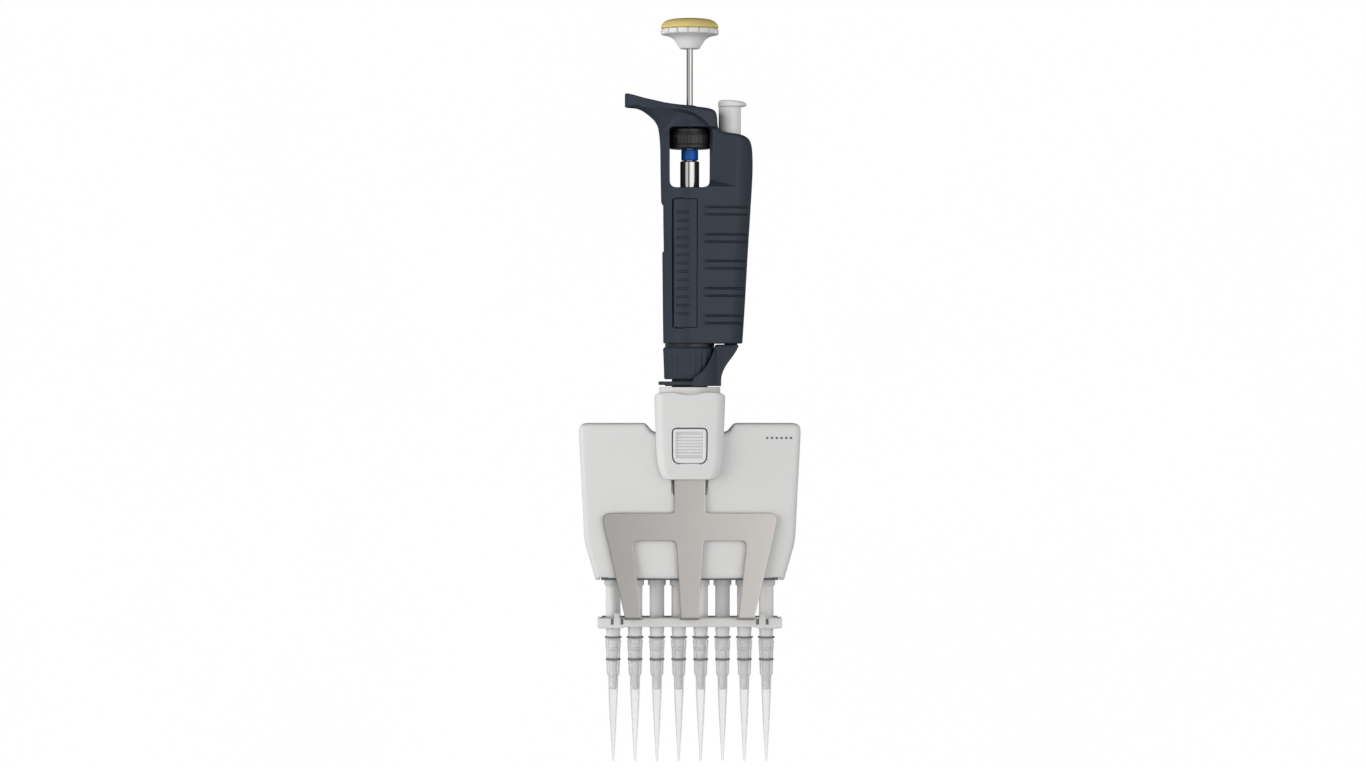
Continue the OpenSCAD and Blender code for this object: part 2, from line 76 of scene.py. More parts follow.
def chaikin(p, n, closed=True):
    p = np.asarray(p, float)
    for _ in range(n):
        q = np.roll(p, -1, 0) if closed else p[1:]
        r = p if closed else p[:-1]
        a, b = r * 0.75 + q * 0.25, r * 0.25 + q * 0.75
        m = np.empty((len(a) * 2, 2))
        m[0::2], m[1::2] = a, b
        p = m if closed else np.vstack([p[:1], m, p[-1:]])
    return p


class Outline:
    """Signed distance to a closed 2-D outline, kept on a fine grid and read back with a bicubic."""

    def __init__(self, pts, rounds=2, step=0.25, pad=7):
        p = chaikin(pts, rounds) if rounds else np.asarray(pts, float)
        lo, hi = p.min(0) - pad, p.max(0) + pad
        self.lo, self.step = lo, step
        u = np.arange(lo[0], hi[0] + step, step)
        v = np.arange(lo[1], hi[1] + step, step)
        U, V = np.meshgrid(u, v, indexing="ij")
        d2 = np.full(U.shape, 1e9)
        inside = np.zeros(U.shape, bool)
        q = np.roll(p, -1, 0)
        for a, b in zip(p, q):
            e = b - a
            w0, w1 = U - a[0], V - a[1]
            t = np.clip((w0 * e[0] + w1 * e[1]) / max(e @ e, 1e-12), 0, 1)
            d2 = np.minimum(d2, (w0 - e[0] * t) ** 2 + (w1 - e[1] * t) ** 2)
            if a[1] != b[1]:
                c = (a[1] > V) != (b[1] > V)
                inside ^= c & (U < e[0] * (V - a[1]) / e[1] + a[0])
        self.g = np.where(inside, -1, 1) * np.sqrt(d2)

    def __call__(self, x, z):
        n0, n1 = self.g.shape
        a = np.clip((x - self.lo[0]) / self.step, 1, n0 - 2.001)
        b = np.clip((z - self.lo[1]) / self.step, 1, n1 - 2.001)
        i, j = np.floor(a).astype(int), np.floor(b).astype(int)
        s, t = a - i, b - j

        def w(f):
            return (
                -0.5 * f + f * f - 0.5 * f ** 3,
                1 - 2.5 * f * f + 1.5 * f ** 3,
                0.5 * f + 2 * f * f - 1.5 * f ** 3,
                -0.5 * f * f + 0.5 * f ** 3,
            )

        ws, wt = w(s), w(t)
        r = 0
        for m in range(4):
            row = 0
            for n in range(4):
                row = row + wt[n] * self.g[i + m - 1, j + n - 1]
            r = r + ws[m] * row
        return r


def curve(pts, width=3.0, lo=-300, hi=60):
    """A smooth function through (z, x) points."""
    pts = sorted(pts)
    t = np.linspace(lo, hi, 3601)
    v = np.interp(t, [p[0] for p in pts], [p[1] for p in pts])
    n = max(1, int(width / (t[1] - t[0])))
    for _ in range(2):
        pad = np.pad(v, n, mode="edge")
        c = np.cumsum(np.insert(pad, 0, 0.0))
        v = (c[2 * n + 1 :] - c[: -2 * n - 1]) / (2 * n + 1)
    return lambda z: np.interp(z, t, v)


def circle2(x, y, r, cx=0.0, cy=0.0):
    return np.hypot(x - cx, y - cy) - r


def slab(v, a, b):
    return np.maximum(a - v, v - b)


def rod(x, y, z, r, z0, z1, cx=0.0, cy=0.0, k=0.0):
    a, b = circle2(x, y, r, cx, cy), slab(z, z0, z1)
    return smax(a, b, k) if k else np.maximum(a, b)


def box2(u, v, cu, cv, hu, hv, r):
    a, b = np.abs(u - cu) - hu + r, np.abs(v - cv) - hv + r
    return np.hypot(np.maximum(a, 0), np.maximum(b, 0)) + np.minimum(np.maximum(a, b), 0) - r


def block(x, y, z, x0, x1, y0, y1, z0, z1, r=0.3):
    a = np.abs(x - (x0 + x1) / 2) - (x1 - x0) / 2 + r
    b = np.abs(y - (y0 + y1) / 2) - (y1 - y0) / 2 + r
    c = np.abs(z - (z0 + z1) / 2) - (z1 - z0) / 2 + r
    o = np.sqrt(np.maximum(a, 0) ** 2 + np.maximum(b, 0) ** 2 + np.maximum(c, 0) ** 2)
    return o + np.minimum(np.maximum(np.maximum(a, b), c), 0) - r


def capsule2(x, y, r1, x2, r2):
    """Two circles on the x axis, one at 0 and one at x2, joined by their tangents."""
    s = 1.0 if x2 > 0 else -1.0
    h = abs(x2)
    px, py = x * s, np.abs(y)
    b = (r1 - r2) / h
    a = math.sqrt(1 - b * b)
    k = a * px - b * py
    mid = a * py + b * px - r1
    return np.where(
        k < 0, np.hypot(px, py) - r1, np.where(k > a * h, np.hypot(px - h, py) - r2, mid)
    )


# ------------------------------------------------------------------ meshes


def spaced(*runs):
    """Grid lines: spaced((from, to, step), ...)."""
    out = []
    for a, b, s in runs:
        n = max(1, int(round((b - a) / s)))
        out += list(np.linspace(a, b, n + 1))[:-1]
    return np.array(out + [runs[-1][1]])


def nets(f, xs, ys, zs):
    F = f(xs[:, None, None], ys[None, :, None], zs[None, None, :])
    F = np.broadcast_to(F, (len(xs), len(ys), len(zs))).astype(np.float64)
    F = np.where(np.abs(F) < 1e-9, 1e-9, F)
    S = F < 0
    shape = tuple(n - 1 for n in F.shape)
    size = shape[0] * shape[1] * shape[2]
    ax = [xs, ys, zs]
    tot, cnt, edges = np.zeros((3, size)), np.zeros(size), []
    for a in range(3):
        lo = [slice(None)] * 3
        hi = [slice(None)] * 3
        lo[a], hi[a] = slice(None, -1), slice(1, None)
        lo, hi = tuple(lo), tuple(hi)
        idx = np.argwhere(S[lo] != S[hi])
        fa, fb = F[lo][tuple(idx.T)], F[hi][tuple(idx.T)]
        t = fa / (fa - fb)
        pos = [ax[c][idx[:, c]] for c in range(3)]
        pos[a] = ax[a][idx[:, a]] * (1 - t) + ax[a][idx[:, a] + 1] * t
        b, c = (a + 1) % 3, (a + 2) % 3
        cells = []
        for db, dc in ((0, 0), (-1, 0), (-1, -1), (0, -1)):
            q = idx.copy()
            q[:, b] += db
            q[:, c] += dc
            ok = (q >= 0).all(1) & (q < np.array(shape)).all(1)
            lin = np.where(ok, (q[:, 0] * shape[1] + q[:, 1]) * shape[2] + q[:, 2], -1)
            cells.append(lin)
            for k in range(3):
                tot[k] += np.bincount(lin[ok], pos[k][ok], size)
            cnt += np.bincount(lin[ok], minlength=size)
        quad = np.stack(cells, 1)
        flip = fa > 0
        quad[flip] = quad[flip][:, ::-1]
        edges.append(quad[(quad >= 0).all(1)])
    used = np.nonzero(cnt)[0]
    index = np.full(size, -1)
    index[used] = np.arange(len(used))
    verts = (tot[:, used] / cnt[used]).T
    return verts, index[np.vstack(edges)]


def grad(f, p, e=0.04):
    g = np.empty_like(p)
    for k in range(3):
        a, b = p.copy(), p.copy()
        a[:, k] += e
        b[:, k] -= e
        g[:, k] = (f(*a.T) - f(*b.T)) / (2 * e)
    return g


def settle(f, p, limit, rounds=3):
    start = p.copy()
    for _ in range(rounds):
        g = grad(f, p)
        n2 = np.maximum((g * g).sum(1), 0.05)
        p = p - (f(*p.T) / n2)[:, None] * g
        d = p - start
        n = np.linalg.norm(d, axis=1)
        p = start + d * np.minimum(1, limit / np.maximum(n, 1e-9))[:, None]
    return p


def make_mesh(name, verts_mm, faces, normals=None):
    me = bpy.data.meshes.new(name)
    v = np.asarray(verts_mm, float).copy()
    v[:, 0] += AX
    v /= 1000
    faces = np.asarray(faces)
    n, k = faces.shape
    me.vertices.add(len(v))
    me.vertices.foreach_set("co", v.ravel().astype(np.float32))
    me.loops.add(n * k)
    me.loops.foreach_set("vertex_index", faces.ravel().astype(np.int32))
    me.polygons.add(n)
    me.polygons.foreach_set("loop_start", np.arange(0, n * k, k, dtype=np.int32))
    me.update(calc_edges=True)
    me.validate()
    me.polygons.foreach_set("use_smooth", np.ones(len(me.polygons), bool))
    ob = bpy.data.objects.new(name, me)
    bpy.context.scene.collection.objects.link(ob)
    if normals is not None:
        me.normals_split_custom_set_from_vertices([tuple(q) for q in normals])
    return ob


def solid(name, f, xs, ys, zs, keep=1.0, limit=0.35, ne=0.05):
    """A closed mesh of a field: netted, drawn onto the surface, thinned, and given the field's own normals."""
    verts, quads = nets(f, xs, ys, zs)
    verts = settle(f, verts, limit)
    ob = make_mesh(name, verts, quads)
    if keep < 1:
        m = ob.modifiers.new("thin", "DECIMATE")
        m.ratio = keep
        dg = bpy.context.evaluated_depsgraph_get()
        me = bpy.data.meshes.new_from_object(ob.evaluated_get(dg))
        ob.modifiers.clear()
        old = ob.data
        ob.data = me
        bpy.data.meshes.remove(old)
        co = np.empty(len(me.vertices) * 3, np.float32)
        me.vertices.foreach_get("co", co)
        p = co.reshape(-1, 3).astype(float) * 1000
        p[:, 0] -= AX
        p = settle(f, p, 0.1, 2)
        q = p.copy()
        q[:, 0] += AX
        me.vertices.foreach_set("co", (q / 1000).astype(np.float32).ravel())
        verts = p
    g = grad(f, verts, ne)
    g /= np.maximum(np.linalg.norm(g, axis=1), 1e-9)[:, None]
    ob.data.polygons.foreach_set("use_smooth", np.ones(len(ob.data.polygons), bool))
    ob.data.normals_split_custom_set_from_vertices([tuple(v) for v in g])
    ob.data.update()
    print(f"PIECE {name}: {len(ob.data.vertices)} vertices, {len(ob.data.polygons)} faces")
    return ob


def rounded(points, closed=True, seg=5):
    """Profile points (r, z, corner radius) to a list of (r, z, nr, nz), with arcs at the corners. Counter-clockwise."""
    P = [np.array(p[:2], float) for p in points]
    R = [p[2] if len(p) > 2 else 0.15 for p in points]
    n = len(P)
    out = []
    for i in range(n):
        p = P[i]
        if not closed and i in (0, n - 1):
            q = P[1] if i == 0 else P[n - 2]
            d = (q - p) if i == 0 else (p - q)
            d = d / np.linalg.norm(d)
            out.append((p[0], p[1], d[1], -d[0]))
            continue
        a, b = P[i - 1] - p, P[(i + 1) % n] - p
        la, lb = np.linalg.norm(a), np.linalg.norm(b)
        a, b = a / la, b / lb
        c = float(np.clip(a @ b, -1, 1))
        ang = math.acos(c)
        if ang > math.pi - 0.02:
            d = b / np.linalg.norm(b)
            out.append((p[0], p[1], d[1], -d[0]))
            continue
        cut = min(R[i] / math.tan(ang / 2), 0.46 * la, 0.46 * lb)
        r = cut * math.tan(ang / 2)
        s, e = p + a * cut, p + b * cut
        mid = a + b
        mid = mid / np.linalg.norm(mid)
        cen = p + mid * (r / math.sin(ang / 2))
        turn = a[0] * b[1] - a[1] * b[0]
        sign = 1.0 if turn < 0 else -1.0
        v0, v1 = s - cen, e - cen
        t0, t1 = math.atan2(v0[1], v0[0]), math.atan2(v1[1], v1[0])
        dt = (t1 - t0 + math.pi) % (2 * math.pi) - math.pi
        m = max(2, seg if abs(dt) > 0.5 else 3)
        for k in range(m + 1):
            t = t0 + dt * k / m
            w = np.array([math.cos(t), math.sin(t)])
            out.append((*(cen + w * r), w[0] * sign, w[1] * sign))
    return out


def lathe(name, parts, seg=96, mod=None):
    """Closed turned pieces. parts is a list of (profile, centre x, centre y); a profile runs counter-clockwise in (r, z)."""
    V, N, F = [], [], []
    th = np.arange(seg) * 2 * math.pi / seg
    ct, st = np.cos(th), np.sin(th)
    for prof, cx, cy in parts:
        base = sum(len(v) for v in V)
        prof = [p for p in prof]
        rows = []
        for r, z, nr, nz in prof:
            if r < 1e-6:
                V.append(np.array([[cx, cy, z]]))
                N.append(np.array([[0.0, 0.0, 1.0 if nz > 0 else -1.0]]))
                rows.append((base, 1))
                base += 1
                continue
            rr = np.full(seg, r)
            slope = np.zeros(seg)
            if mod is not None:
                rr = rr + mod(r, z, th)
                e = 1e-3
                slope = (mod(r, z, th + e) - mod(r, z, th - e)) / (2 * e) / rr
            V.append(np.stack([cx + rr * ct, cy + rr * st, np.full(seg, z)], 1))
            nx = (ct + slope * st) * nr
            ny = (st - slope * ct) * nr
            nn = np.stack([nx, ny, np.full(seg, nz)], 1)
            N.append(nn / np.linalg.norm(nn, axis=1)[:, None])
            rows.append((base, seg))
            base += seg
        m = len(rows)
        closed = rows[0][1] > 1 and rows[-1][1] > 1
        for i in range(m if closed else m - 1):
            (a, na), (b, nb) = rows[i], rows[(i + 1) % m]
            for j in range(seg):
                k = (j + 1) % seg
                if na == 1:
                    F.append((a, b + k, b + j))
                elif nb == 1:
                    F.append((a + j, a + k, b))
                else:
                    F.append((a + j, a + k, b + k, b + j))
    v = np.vstack(V)
    nrm = np.vstack(N)
    me = bpy.data.meshes.new(name)
    w = v.copy()
    w[:, 0] += AX
    me.from_pydata([tuple(q) for q in w / 1000], [], F)
    me.update()
    bm = bmesh.new()
    bm.from_mesh(me)
    if bm.calc_volume(signed=True) < 0:
        bmesh.ops.reverse_faces(bm, faces=bm.faces)
    bm.to_mesh(me)
    bm.free()
    me.polygons.foreach_set("use_smooth", np.ones(len(me.polygons), bool))
    ob = bpy.data.objects.new(name, me)
    bpy.context.scene.collection.objects.link(ob)
    me.normals_split_custom_set_from_vertices([tuple(q) for q in nrm])
    me.update()
    print(f"PIECE {name}: {len(me.vertices)} vertices, {len(me.polygons)} faces")
    return ob


def shifted(profile, cx=0.0, cy=0.0):
    return (profile, cx, cy)


# ------------------------------------------------------------------ handle

LEFT = curve([(20, -12.1), (-13, -12.25), (-17, -12.15), (-30, -12.0), (-38, -11.8), (-60, -11.3), (-83, -11.1), (-95, -10.95), (-110, -10.7)])
RIGHT = curve([(20, 26.0), (-24, 26.0), (-30, 25.8), (-38, 25.3), (-46.3, 24.8), (-58.7, 24.0), (-71, 23.3), (-83.4, 22.6), (-95.5, 21.8), (-110, 20.9)])
TOP = Outline(
    [(-27, -105), (-27.02, -30), (-27, -2), (-27, 3.5), (-26.98, 5.0), (-26.8, 5.6), (-26.2, 5.75), (-24.4, 5.3), (-21.9, 4.5), (-19.5, 3.75), (-17, 3.1), (-14.5, 2.55),
     (-12, 1.95), (-9.6, 1.3), (-7.1, 0.7), (-4.6, 0.3), (-2.2, 0.02), (2.8, -0.3), (5.2, -0.5), (7.7, -0.85), (9.6, -1.4), (10.7, -2.3), (11.2, -4), (11.4, -7.0),
     (11.6, -8.8), (12.5, -9.9), (14.5, -10.5), (17.6, -10.9), (20.1, -11.3), (22.5, -11.9), (24.2, -12.9), (25.4, -14.4), (26.3, -16.6), (27, -20), (27.8, -26), (28.4, -40),
     (28.4, -70), (28.4, -105)],
    2, 0.25, 5)
WEB = Outline(
    [(-27.05, 20), (-27.05, 10), (-27.05, 2), (-27.05, 0.3), (-26.8, 0.0), (-24, 0.0), (-21.8, -0.1), (-19.2, -1.3), (-16.6, -3.3), (-14.6, -5.2), (-13.3, -7.4), (-12.75, -9.4),
     (-12.2, -11.5), (-11.6, -14), (-10.9, -17), (-10, -22), (-10, -40), (20, -40), (20, 20)], 2, 0.25, 5)
WINDOW = Outline(
    [(-8.2, -12), (-8.2, -9.8), (-8.0, -8.9), (-7.0, -8.4), (-5, -8.4), (5, -8.4), (7.2, -8.4), (8.1, -8.9), (8.2, -9.8), (8.2, -12), (8.25, -22), (8.2, -30.2), (8.0, -31.8), (7.2, -32.8),
     (6.0, -33.3), (4, -33.3), (-4, -33.3), (-6.0, -33.3), (-7.2, -32.8), (-8.0, -31.8), (-8.2, -30.2), (-8.25, -22)], 2, 0.2, 5)
ARC = curve([(-40, -0.9), (-11, -0.9), (-3.5, -1.35), (1.6, -2.8), (5.2, -5.0), (7.9, -7.7), (9.2, -9.6), (12, -14)], 0.8, -60, 60)
RIBS = (-42.9, -54.1, -65.0, -76.2, -87.4)


def skin(x, y, z):
    """Outer surface of the handle, before the window and the cavities are cut."""
    xl, xr = LEFT(z), RIGHT(z)
    u = (x - xl) / (xr - xl) * 38.9 - 12.6
    plan = capsule2(u, y, 12.6, 16.7, 9.6)
    top = TOP(x, z)
    ay = np.abs(y)
    face = ramp(ay, 1.5, 4.5)
    # recess for the thumb beside the window, with a sloping foot
    t = np.clip(1 - (x - 8.0) / 11.6, 0, 1)
    edge = -30.0 - 2.9 * (x - 8.6) / 10.6
    foot = np.clip((z + 33.0) / np.maximum(edge + 33.0, 0.25), 0, 1)
    d = 4.0 * t ** 1.2 * foot * ramp(z, -8.3, -9.4) * ramp(x, 6.0, 7.5) * face
    # scoop under the arc that runs from the hook to the window's corner
    below = ARC(x) - z
    d = d + 3.1 * ramp(below, -0.1, 1.4) * (1 - ramp(below, 1.0, 14.5)) * (1 - ramp(x, 8.4, 9.6)) * face
    # grip ribs on both cheeks
    for c in RIBS:
        w = np.abs(z - c)
        along = ramp(x, 4.8, 8.2)
        end = 1 - ramp(x, 21.9 + (c + 87.4) * 0.03, 22.8 + (c + 87.4) * 0.03)
        d = d + (0.62 * ramp(w, 1.0, 1.4) * (1 - ramp(w, 1.72, 2.05)) * along * end - 0.28 * (1 - ramp(w, 0.95, 1.5)) * along) * face
    # counter's flat on the hook side
    d = d + 0.3 * (1 - ramp(x, -11.0, -9.8)) * ramp(z, -60.0, -59.5) * (1 - ramp(z, -39.6, -39.1))
    body = smax(plan + d, top, 2.0)
    # finger hook, its root narrowing downwards
    narrow = 5.2 * np.clip((-0.55 - z) / 11.5, 0, 1) ** 0.85
    hook = capsule2(x, y, 11.2, -18.5, 8.5) + narrow
    hook = smax(smax(hook, top, 0.7), WEB(x, z), 0.8 + 2.0 * ramp(x, -26, -18))
    hook = smax(np.maximum(hook, -20.0 - z), x - 2.0, 1.0)
    return smax(smin(body, hook, 1.4), -97.2 - z, 0.8)


def lens_field(x, y, z):
    """Counter window: a curved clear pane let into the hook side."""
    r = np.hypot(x, y)
    f = smax(slab(r, 9.7, 10.75), np.abs(y) - 2.85, 0.25)
    return smax(np.maximum(f, x + 8.0), slab(z, -59.0, -40.3), 0.25)


def label_zone(x, z, grow=0.0):
    return box2(x, z, -1.8, -64.4, 4.7 + grow, 26.2 + grow, 0.35 + grow)


def handle_field(x, y, z):
    f = skin(x, y, z)
    # seat of the label, open as a dark line on its left and at the ends of its left third
    seat = label_zone(x, z, 0.12)
    seat = np.minimum(seat, box2(x, z, -6.72, -64.4, 0.42, 26.25, 0.2))
    seat = np.minimum(seat, box2(x, z, -4.2, -64.4, 1.7, 26.75, 0.2))
    f = smax(f, -np.maximum(np.maximum(seat, f - 3), np.maximum(y, -f - 0.85)), 0.18)
    f = smax(f, -np.maximum(WINDOW(x, z), np.minimum(np.minimum(y - 2.0, circle2(x, y, 8.1)), z + 12.1)), 0.7)
    f = np.maximum(f, -rod(x, y, z, 8.8, -17.4, -11.0))
    f = np.maximum(f, -rod(x, y, z, 3.25, -9, 6))
    f = np.maximum(f, -rod(x, y, z, 4.25, -37, -30))
    f = smax(f, -rod(x, y, z, 9.5, -99, -36.5), 0.3)
    f = smax(f, -block(x, y, z, -15, -9, -3.0, 3.0, -59.2, -40.1, 0.6), 0.3)
    f = smax(f, -rod(x, y, z, 5.7, -24.2, 0, EJ), 0.4)
    f = np.maximum(f, -rod(x, y, z, 5.05, -60, -20, EJ))
    f = np.maximum(f, -rod(x, y, z, 1.75, -99, -58, EJ))
    return smax(f, -rod(x, y, z, 2.95, -99, -93.9, EJ + 0.5), 0.3)


def label_field(x, y, z):
    f = skin(x, y, z)
    bars = np.full(np.broadcast(x, z).shape, 9.0)
    for i in range(13):
        bars = np.minimum(bars, box2(x, z, -2.7, -43.6 - i * 3.46, 2.5, 0.42, 0.4))
    top = -0.22 + 0.42 * (1 - ramp(bars, -0.22, 0.16))
    g = smax(f + top, label_zone(x, z), 0.25)
    return smax(g, -f - 0.75, 0.2)


# ------------------------------------------------------------------ drive and lower parts

ARM = Outline(
    [(0.9, -118), (0.9, -111.4), (3.8, -109.7), (6.7, -106.8), (8.8, -102.7), (10.2, -98.7), (10.4, -97.9), (10.9, -97.65), (12, -97.6), (15, -97.6), (19.2, -97.6), (19.9, -97.7),
     (20.1, -98.1), (19.8, -99.0), (19.2, -100.2), (17.6, -102.6), (15.3, -105.6), (14, -107.9), (13.2, -110), (12.95, -111.5), (12.9, -113), (12.9, -118)], 2, 0.2, 5)


def arm_field(x, y, z):
    shell = smin(circle2(x, y, 12.85), box2(x, y, 14.5, 0, 6.5, 6.2, 2.0), 1.2)
    f = smax(ARM(x, z), shell, 0.9)
    f = smin(f, rod(x, y, z, 2.6, -98.2, -94.5, EJ + 0.4, 0, 0.3), 0.4)
    f = smax(f, -rod(x, y, z, 11.4, -112.8, -90), 0.35)
    f = smin(f, rod(x, y, z, 12.85, -114.25, -112.75, 0, 0, 0.4), 0.25)
    f = smin(f, rod(x, y, z, 10.2, -114.7, -114.0, 0, 0, 0.2), 0.15)
    f = np.maximum(f, -114.7 - z)
    f = smax(f, -rod(x, y, z, 7.7, -120, -100), 0.25)
    return np.maximum(f, -rod(x, y, z, 1.62, -100.6, -90, EJ))


SIDE = curve([(-110, 14.6), (-119.5, 14.5), (-126, 14.3), (-133, 14.0), (-141, 13.7), (-146, 13.3), (-149.3, 12.35), (-151.5, 11.55), (-152.4, 10.95), (-152.9, 10.2), (-154, 8.6)], 0.5)
SHOULDER = curve([(0, -118.2), (2.5, -118.05), (4.5, -117.55), (6.5, -117.1), (9, -117.15), (12.6, -117.5), (14, -118.1), (14.7, -118.8), (20, -119)], 0.8)


def collar_field(x, y, z):
    w = SIDE(z)
    plan = box2(x / w * 14.6, y, 0, -1.45, 14.6, 14.05, 4.2)
    body = smax(plan, z - SHOULDER(np.abs(x)), 0.9)
    low = np.minimum(slab(z, -124.2, -100), np.maximum(y + 11.3, slab(z, -152.87, -100)))
    body = smax(body, low, 0.45)
    tongue = block(x, y, z, -6.6, 6.6, -12.0, -9.4, -149.6, -121, 0.3)
    f = np.minimum(body, tongue)
    ring = rod(x, y, z, 12.6, -124, -115.1, 0, 0, 0.35)
    f = smin(f, ring, 0.35)
    f = smax(f, -rod(x, y, z, 7.7, -130, -100), 0.4)
    low_edge = 0.34 * (1 - ramp(np.abs(x), 3.3, 4.3)) * ramp(-z, 144.5, 146.2)
    seat = np.maximum(BUTTON(x, z) - 0.52 + low_edge, y + 12.5)
    f = smax(f, -seat, 0.3)
    f = smax(f, -block(x, y, z, -6.5, 6.5, -12.7, -11, -156, -137.7, 0.1), 0.15)
    f = np.maximum(f, -np.maximum(np.hypot(x, z + 143) - 1.6, slab(y, -12, -9.8)))
    return np.maximum(f, -np.maximum(np.hypot(x, z + 134.6) - 2.0, slab(y, -12.8, -9.8)))


BUTTON = Outline(
    [(-6.8, -136), (-6.8, -133.4), (-6.45, -132.6), (-5.7, -132.2), (-4.0, -132.2), (4.0, -132.2), (5.7, -132.2), (6.45, -132.6), (6.8, -133.4), (6.8, -136), (6.75, -142.4), (6.62, -144.2),
     (5.95, -145.5), (4.7, -146.1), (3.2, -146.1), (-3.2, -146.1), (-4.7, -146.1), (-5.95, -145.5), (-6.62, -144.2), (-6.75, -142.4)], 2, 0.15, 4)


def release_field(x, y, z):
    o = BUTTON(x, z)
    field = 0.25 * (1 - ramp(box2(x, z, 0, -138.75, 5.65, 5.4, 0.4), -0.15, 0.12))
    front = -(y + 15.6) + field
    f = smax(smax(o, front, 0.3), y + 13.7, 0.3)
    f = np.maximum(f, -np.maximum(box2(x, z, 0, -138.75, 5.25, 5.1, 0.1), y + 14.6))
    pin = np.maximum(np.hypot(x, z + 143) - 0.95, slab(y, -14.2, -12.2))
    head = np.maximum(np.hypot(x, z + 143) - 1.4, slab(y, -12.35, -11.35))
    return np.minimum(np.minimum(f, pin), head)


HALF = [(0, -133.6), (13.6, -133.6), (14.9, -133.45), (15.8, -132.9), (16.7, -131.9), (17.5, -130.8), (18.3, -130.1), (19.6, -129.9), (24, -129.9), (36, -129.9), (42.3, -129.9),
        (43.9, -130.1), (44.9, -130.9), (45.35, -132.2), (45.45, -134), (45.1, -141), (44.4, -153.4), (43.8, -165.7), (43.4, -174), (43.2, -177.2), (42.7, -180), (40.9, -186.3),
        (39.2, -192.1), (38.75, -193.7), (38.55, -194.06), (38.2, -194.12), (36, -194.12), (20, -194.12), (0, -194.12)]


def both_sides(half):
    right = list(half)
    left = [(-a, b) for a, b in reversed(half) if a > 0]
    return right + left


SHELL = Outline(both_sides(HALF), 2, 0.3, 6)
CAVITY = Outline(both_sides([(0, -135.2), (17, -135.2), (18.8, -134.2), (20.2, -131.8), (30, -131.6), (42.5, -131.5), (43.6, -133), (43.4, -141), (42.8, -161.6), (41.8, -177.8), (36.9, -192.5), (36.5, -198), (0, -198)]), 1, 0.4, 6)
SCREWS = ((-26, -135.4), (26, -135.4), (-38, -176), (38, -176))


def cover_field(x, y, z, s):
    """One of the two covers: s is -1 for the front one."""
    v = y * s                       # outwards
    o = SHELL(x, z)
    crown = 0.35 * (x / 45.0) ** 2 + 0.8 * np.clip((-152 - z) / 42, 0, 1) ** 1.4
    f = smax(o, v - 11.0 + crown, 2.6)
    f = np.maximum(f, 0.05 - v)
    inner = np.maximum(CAVITY(x, z), v - 9.4)
    if s < 0:
        floor = np.maximum(np.abs(x) - 8.7, np.maximum(7.4 - v, slab(z, -160.8, -120)))
        inner = np.maximum(inner, -floor)
    f = np.maximum(f, -inner)
    f = smax(f, -rod(x, y, z, 7.5, -142, -120), 0.3)
    for a, b in SCREWS:
        c = np.hypot(x - a, z - b)
        f = np.minimum(f, np.maximum(c - 2.7, np.maximum(0.05 - v, v - 9.6)))
        if s < 0:
            f = np.maximum(f, -np.maximum(c - 1.25, v - 9.3))
        else:
            f = np.maximum(f, -(c - 1.35))
            f = smax(f, -np.maximum(c - 2.4, 8.4 - v), 0.3)
    if s < 0:
        # trough of the stem, its floor rising to the face at the lower end beside the collar's tongue
        rise = 9.0 + 1.95 * np.clip((-151.5 - z) / 7.7, 0, 1) ** 0.8 * ramp(np.abs(x), 6.7, 6.85)
        f = smax(f, -np.maximum(np.abs(x) - 7.4, np.maximum(rise - v, slab(z, -159.2, -120))), 0.3)
        # latch marks
        for side in (-1, 1):
            c = box2(x, z, side * 32.4, -190.9, 1.5, 0.9, 0.3)
            f = smax(f, -np.maximum(c, 10.35 - v), 0.2)
    return f


FORK = Outline(both_sides(
    [(0, -138), (4.9, -138), (5.8, -138.3), (6.3, -139.2), (6.35, -141), (6.35, -160), (6.35, -165.4), (6.55, -166.2), (7.4, -166.5), (14, -166.5), (30, -166.5), (32.9, -166.5),
     (34.6, -167.1), (35.4, -168.4), (35.5, -170.0), (34.9, -173), (31, -189.8), (27.1, -206.6), (26.6, -208.8), (26.45, -210), (26.45, -213), (19.9, -213), (19.9, -210), (20.1, -207.6), (21.6, -194.0),
     (23.15, -181), (23.1, -179.3), (22.4, -178.2), (21.0, -177.9), (14, -177.9), (7.6, -177.9), (6.4, -178.1), (5.65, -179.0), (5.4, -180.6), (4.5, -194.5), (3.7, -208), (3.6, -210), (3.6, -213), (0, -213)]), 2, 0.2, 4)


def fork_field(x, y, z):
    # the sheet comes down at the front and turns back under itself at the foot
    y0, t, zf, r = -12.3, 0.8, -210.3, 1.4
    dy, dz = y - (y0 + r), z - (zf + r)
    front = slab(y, y0, y0 + t)
    floor = slab(z, zf, zf + t)
    bend = np.abs(np.hypot(dy, dz) - (r - t / 2)) - t / 2
    sheet = np.where((dz < 0) & (dy < 0), bend, np.where(dz >= 0, front, floor))
    sheet = np.where((dz >= 0) & (dy > 0.6), np.minimum(np.abs(dy) + 0.0, np.maximum(dz, 0.0) + 0.5), sheet)
    legs = np.maximum(FORK(x, np.maximum(z, -209.4)), y + 6.0)
    f = smax(sheet, legs, 0.2)
    strap = block(x, y, z, -36.2, 36.2, -6.4, 5.4, zf, zf + t, 0.12)
    f = np.minimum(f, strap)
    for c in XS:
        f = np.maximum(f, -(np.maximum(np.hypot(x - c, y) - 3.35, z + 205)))
    f = np.maximum(f, -np.maximum(np.hypot(x, z + 143) - 1.5, slab(y, -14, -10)))
    return np.maximum(f, -np.maximum(np.maximum(np.abs(x) - 1.15, slab(z, -143, -130)), slab(y, -14, -10)))


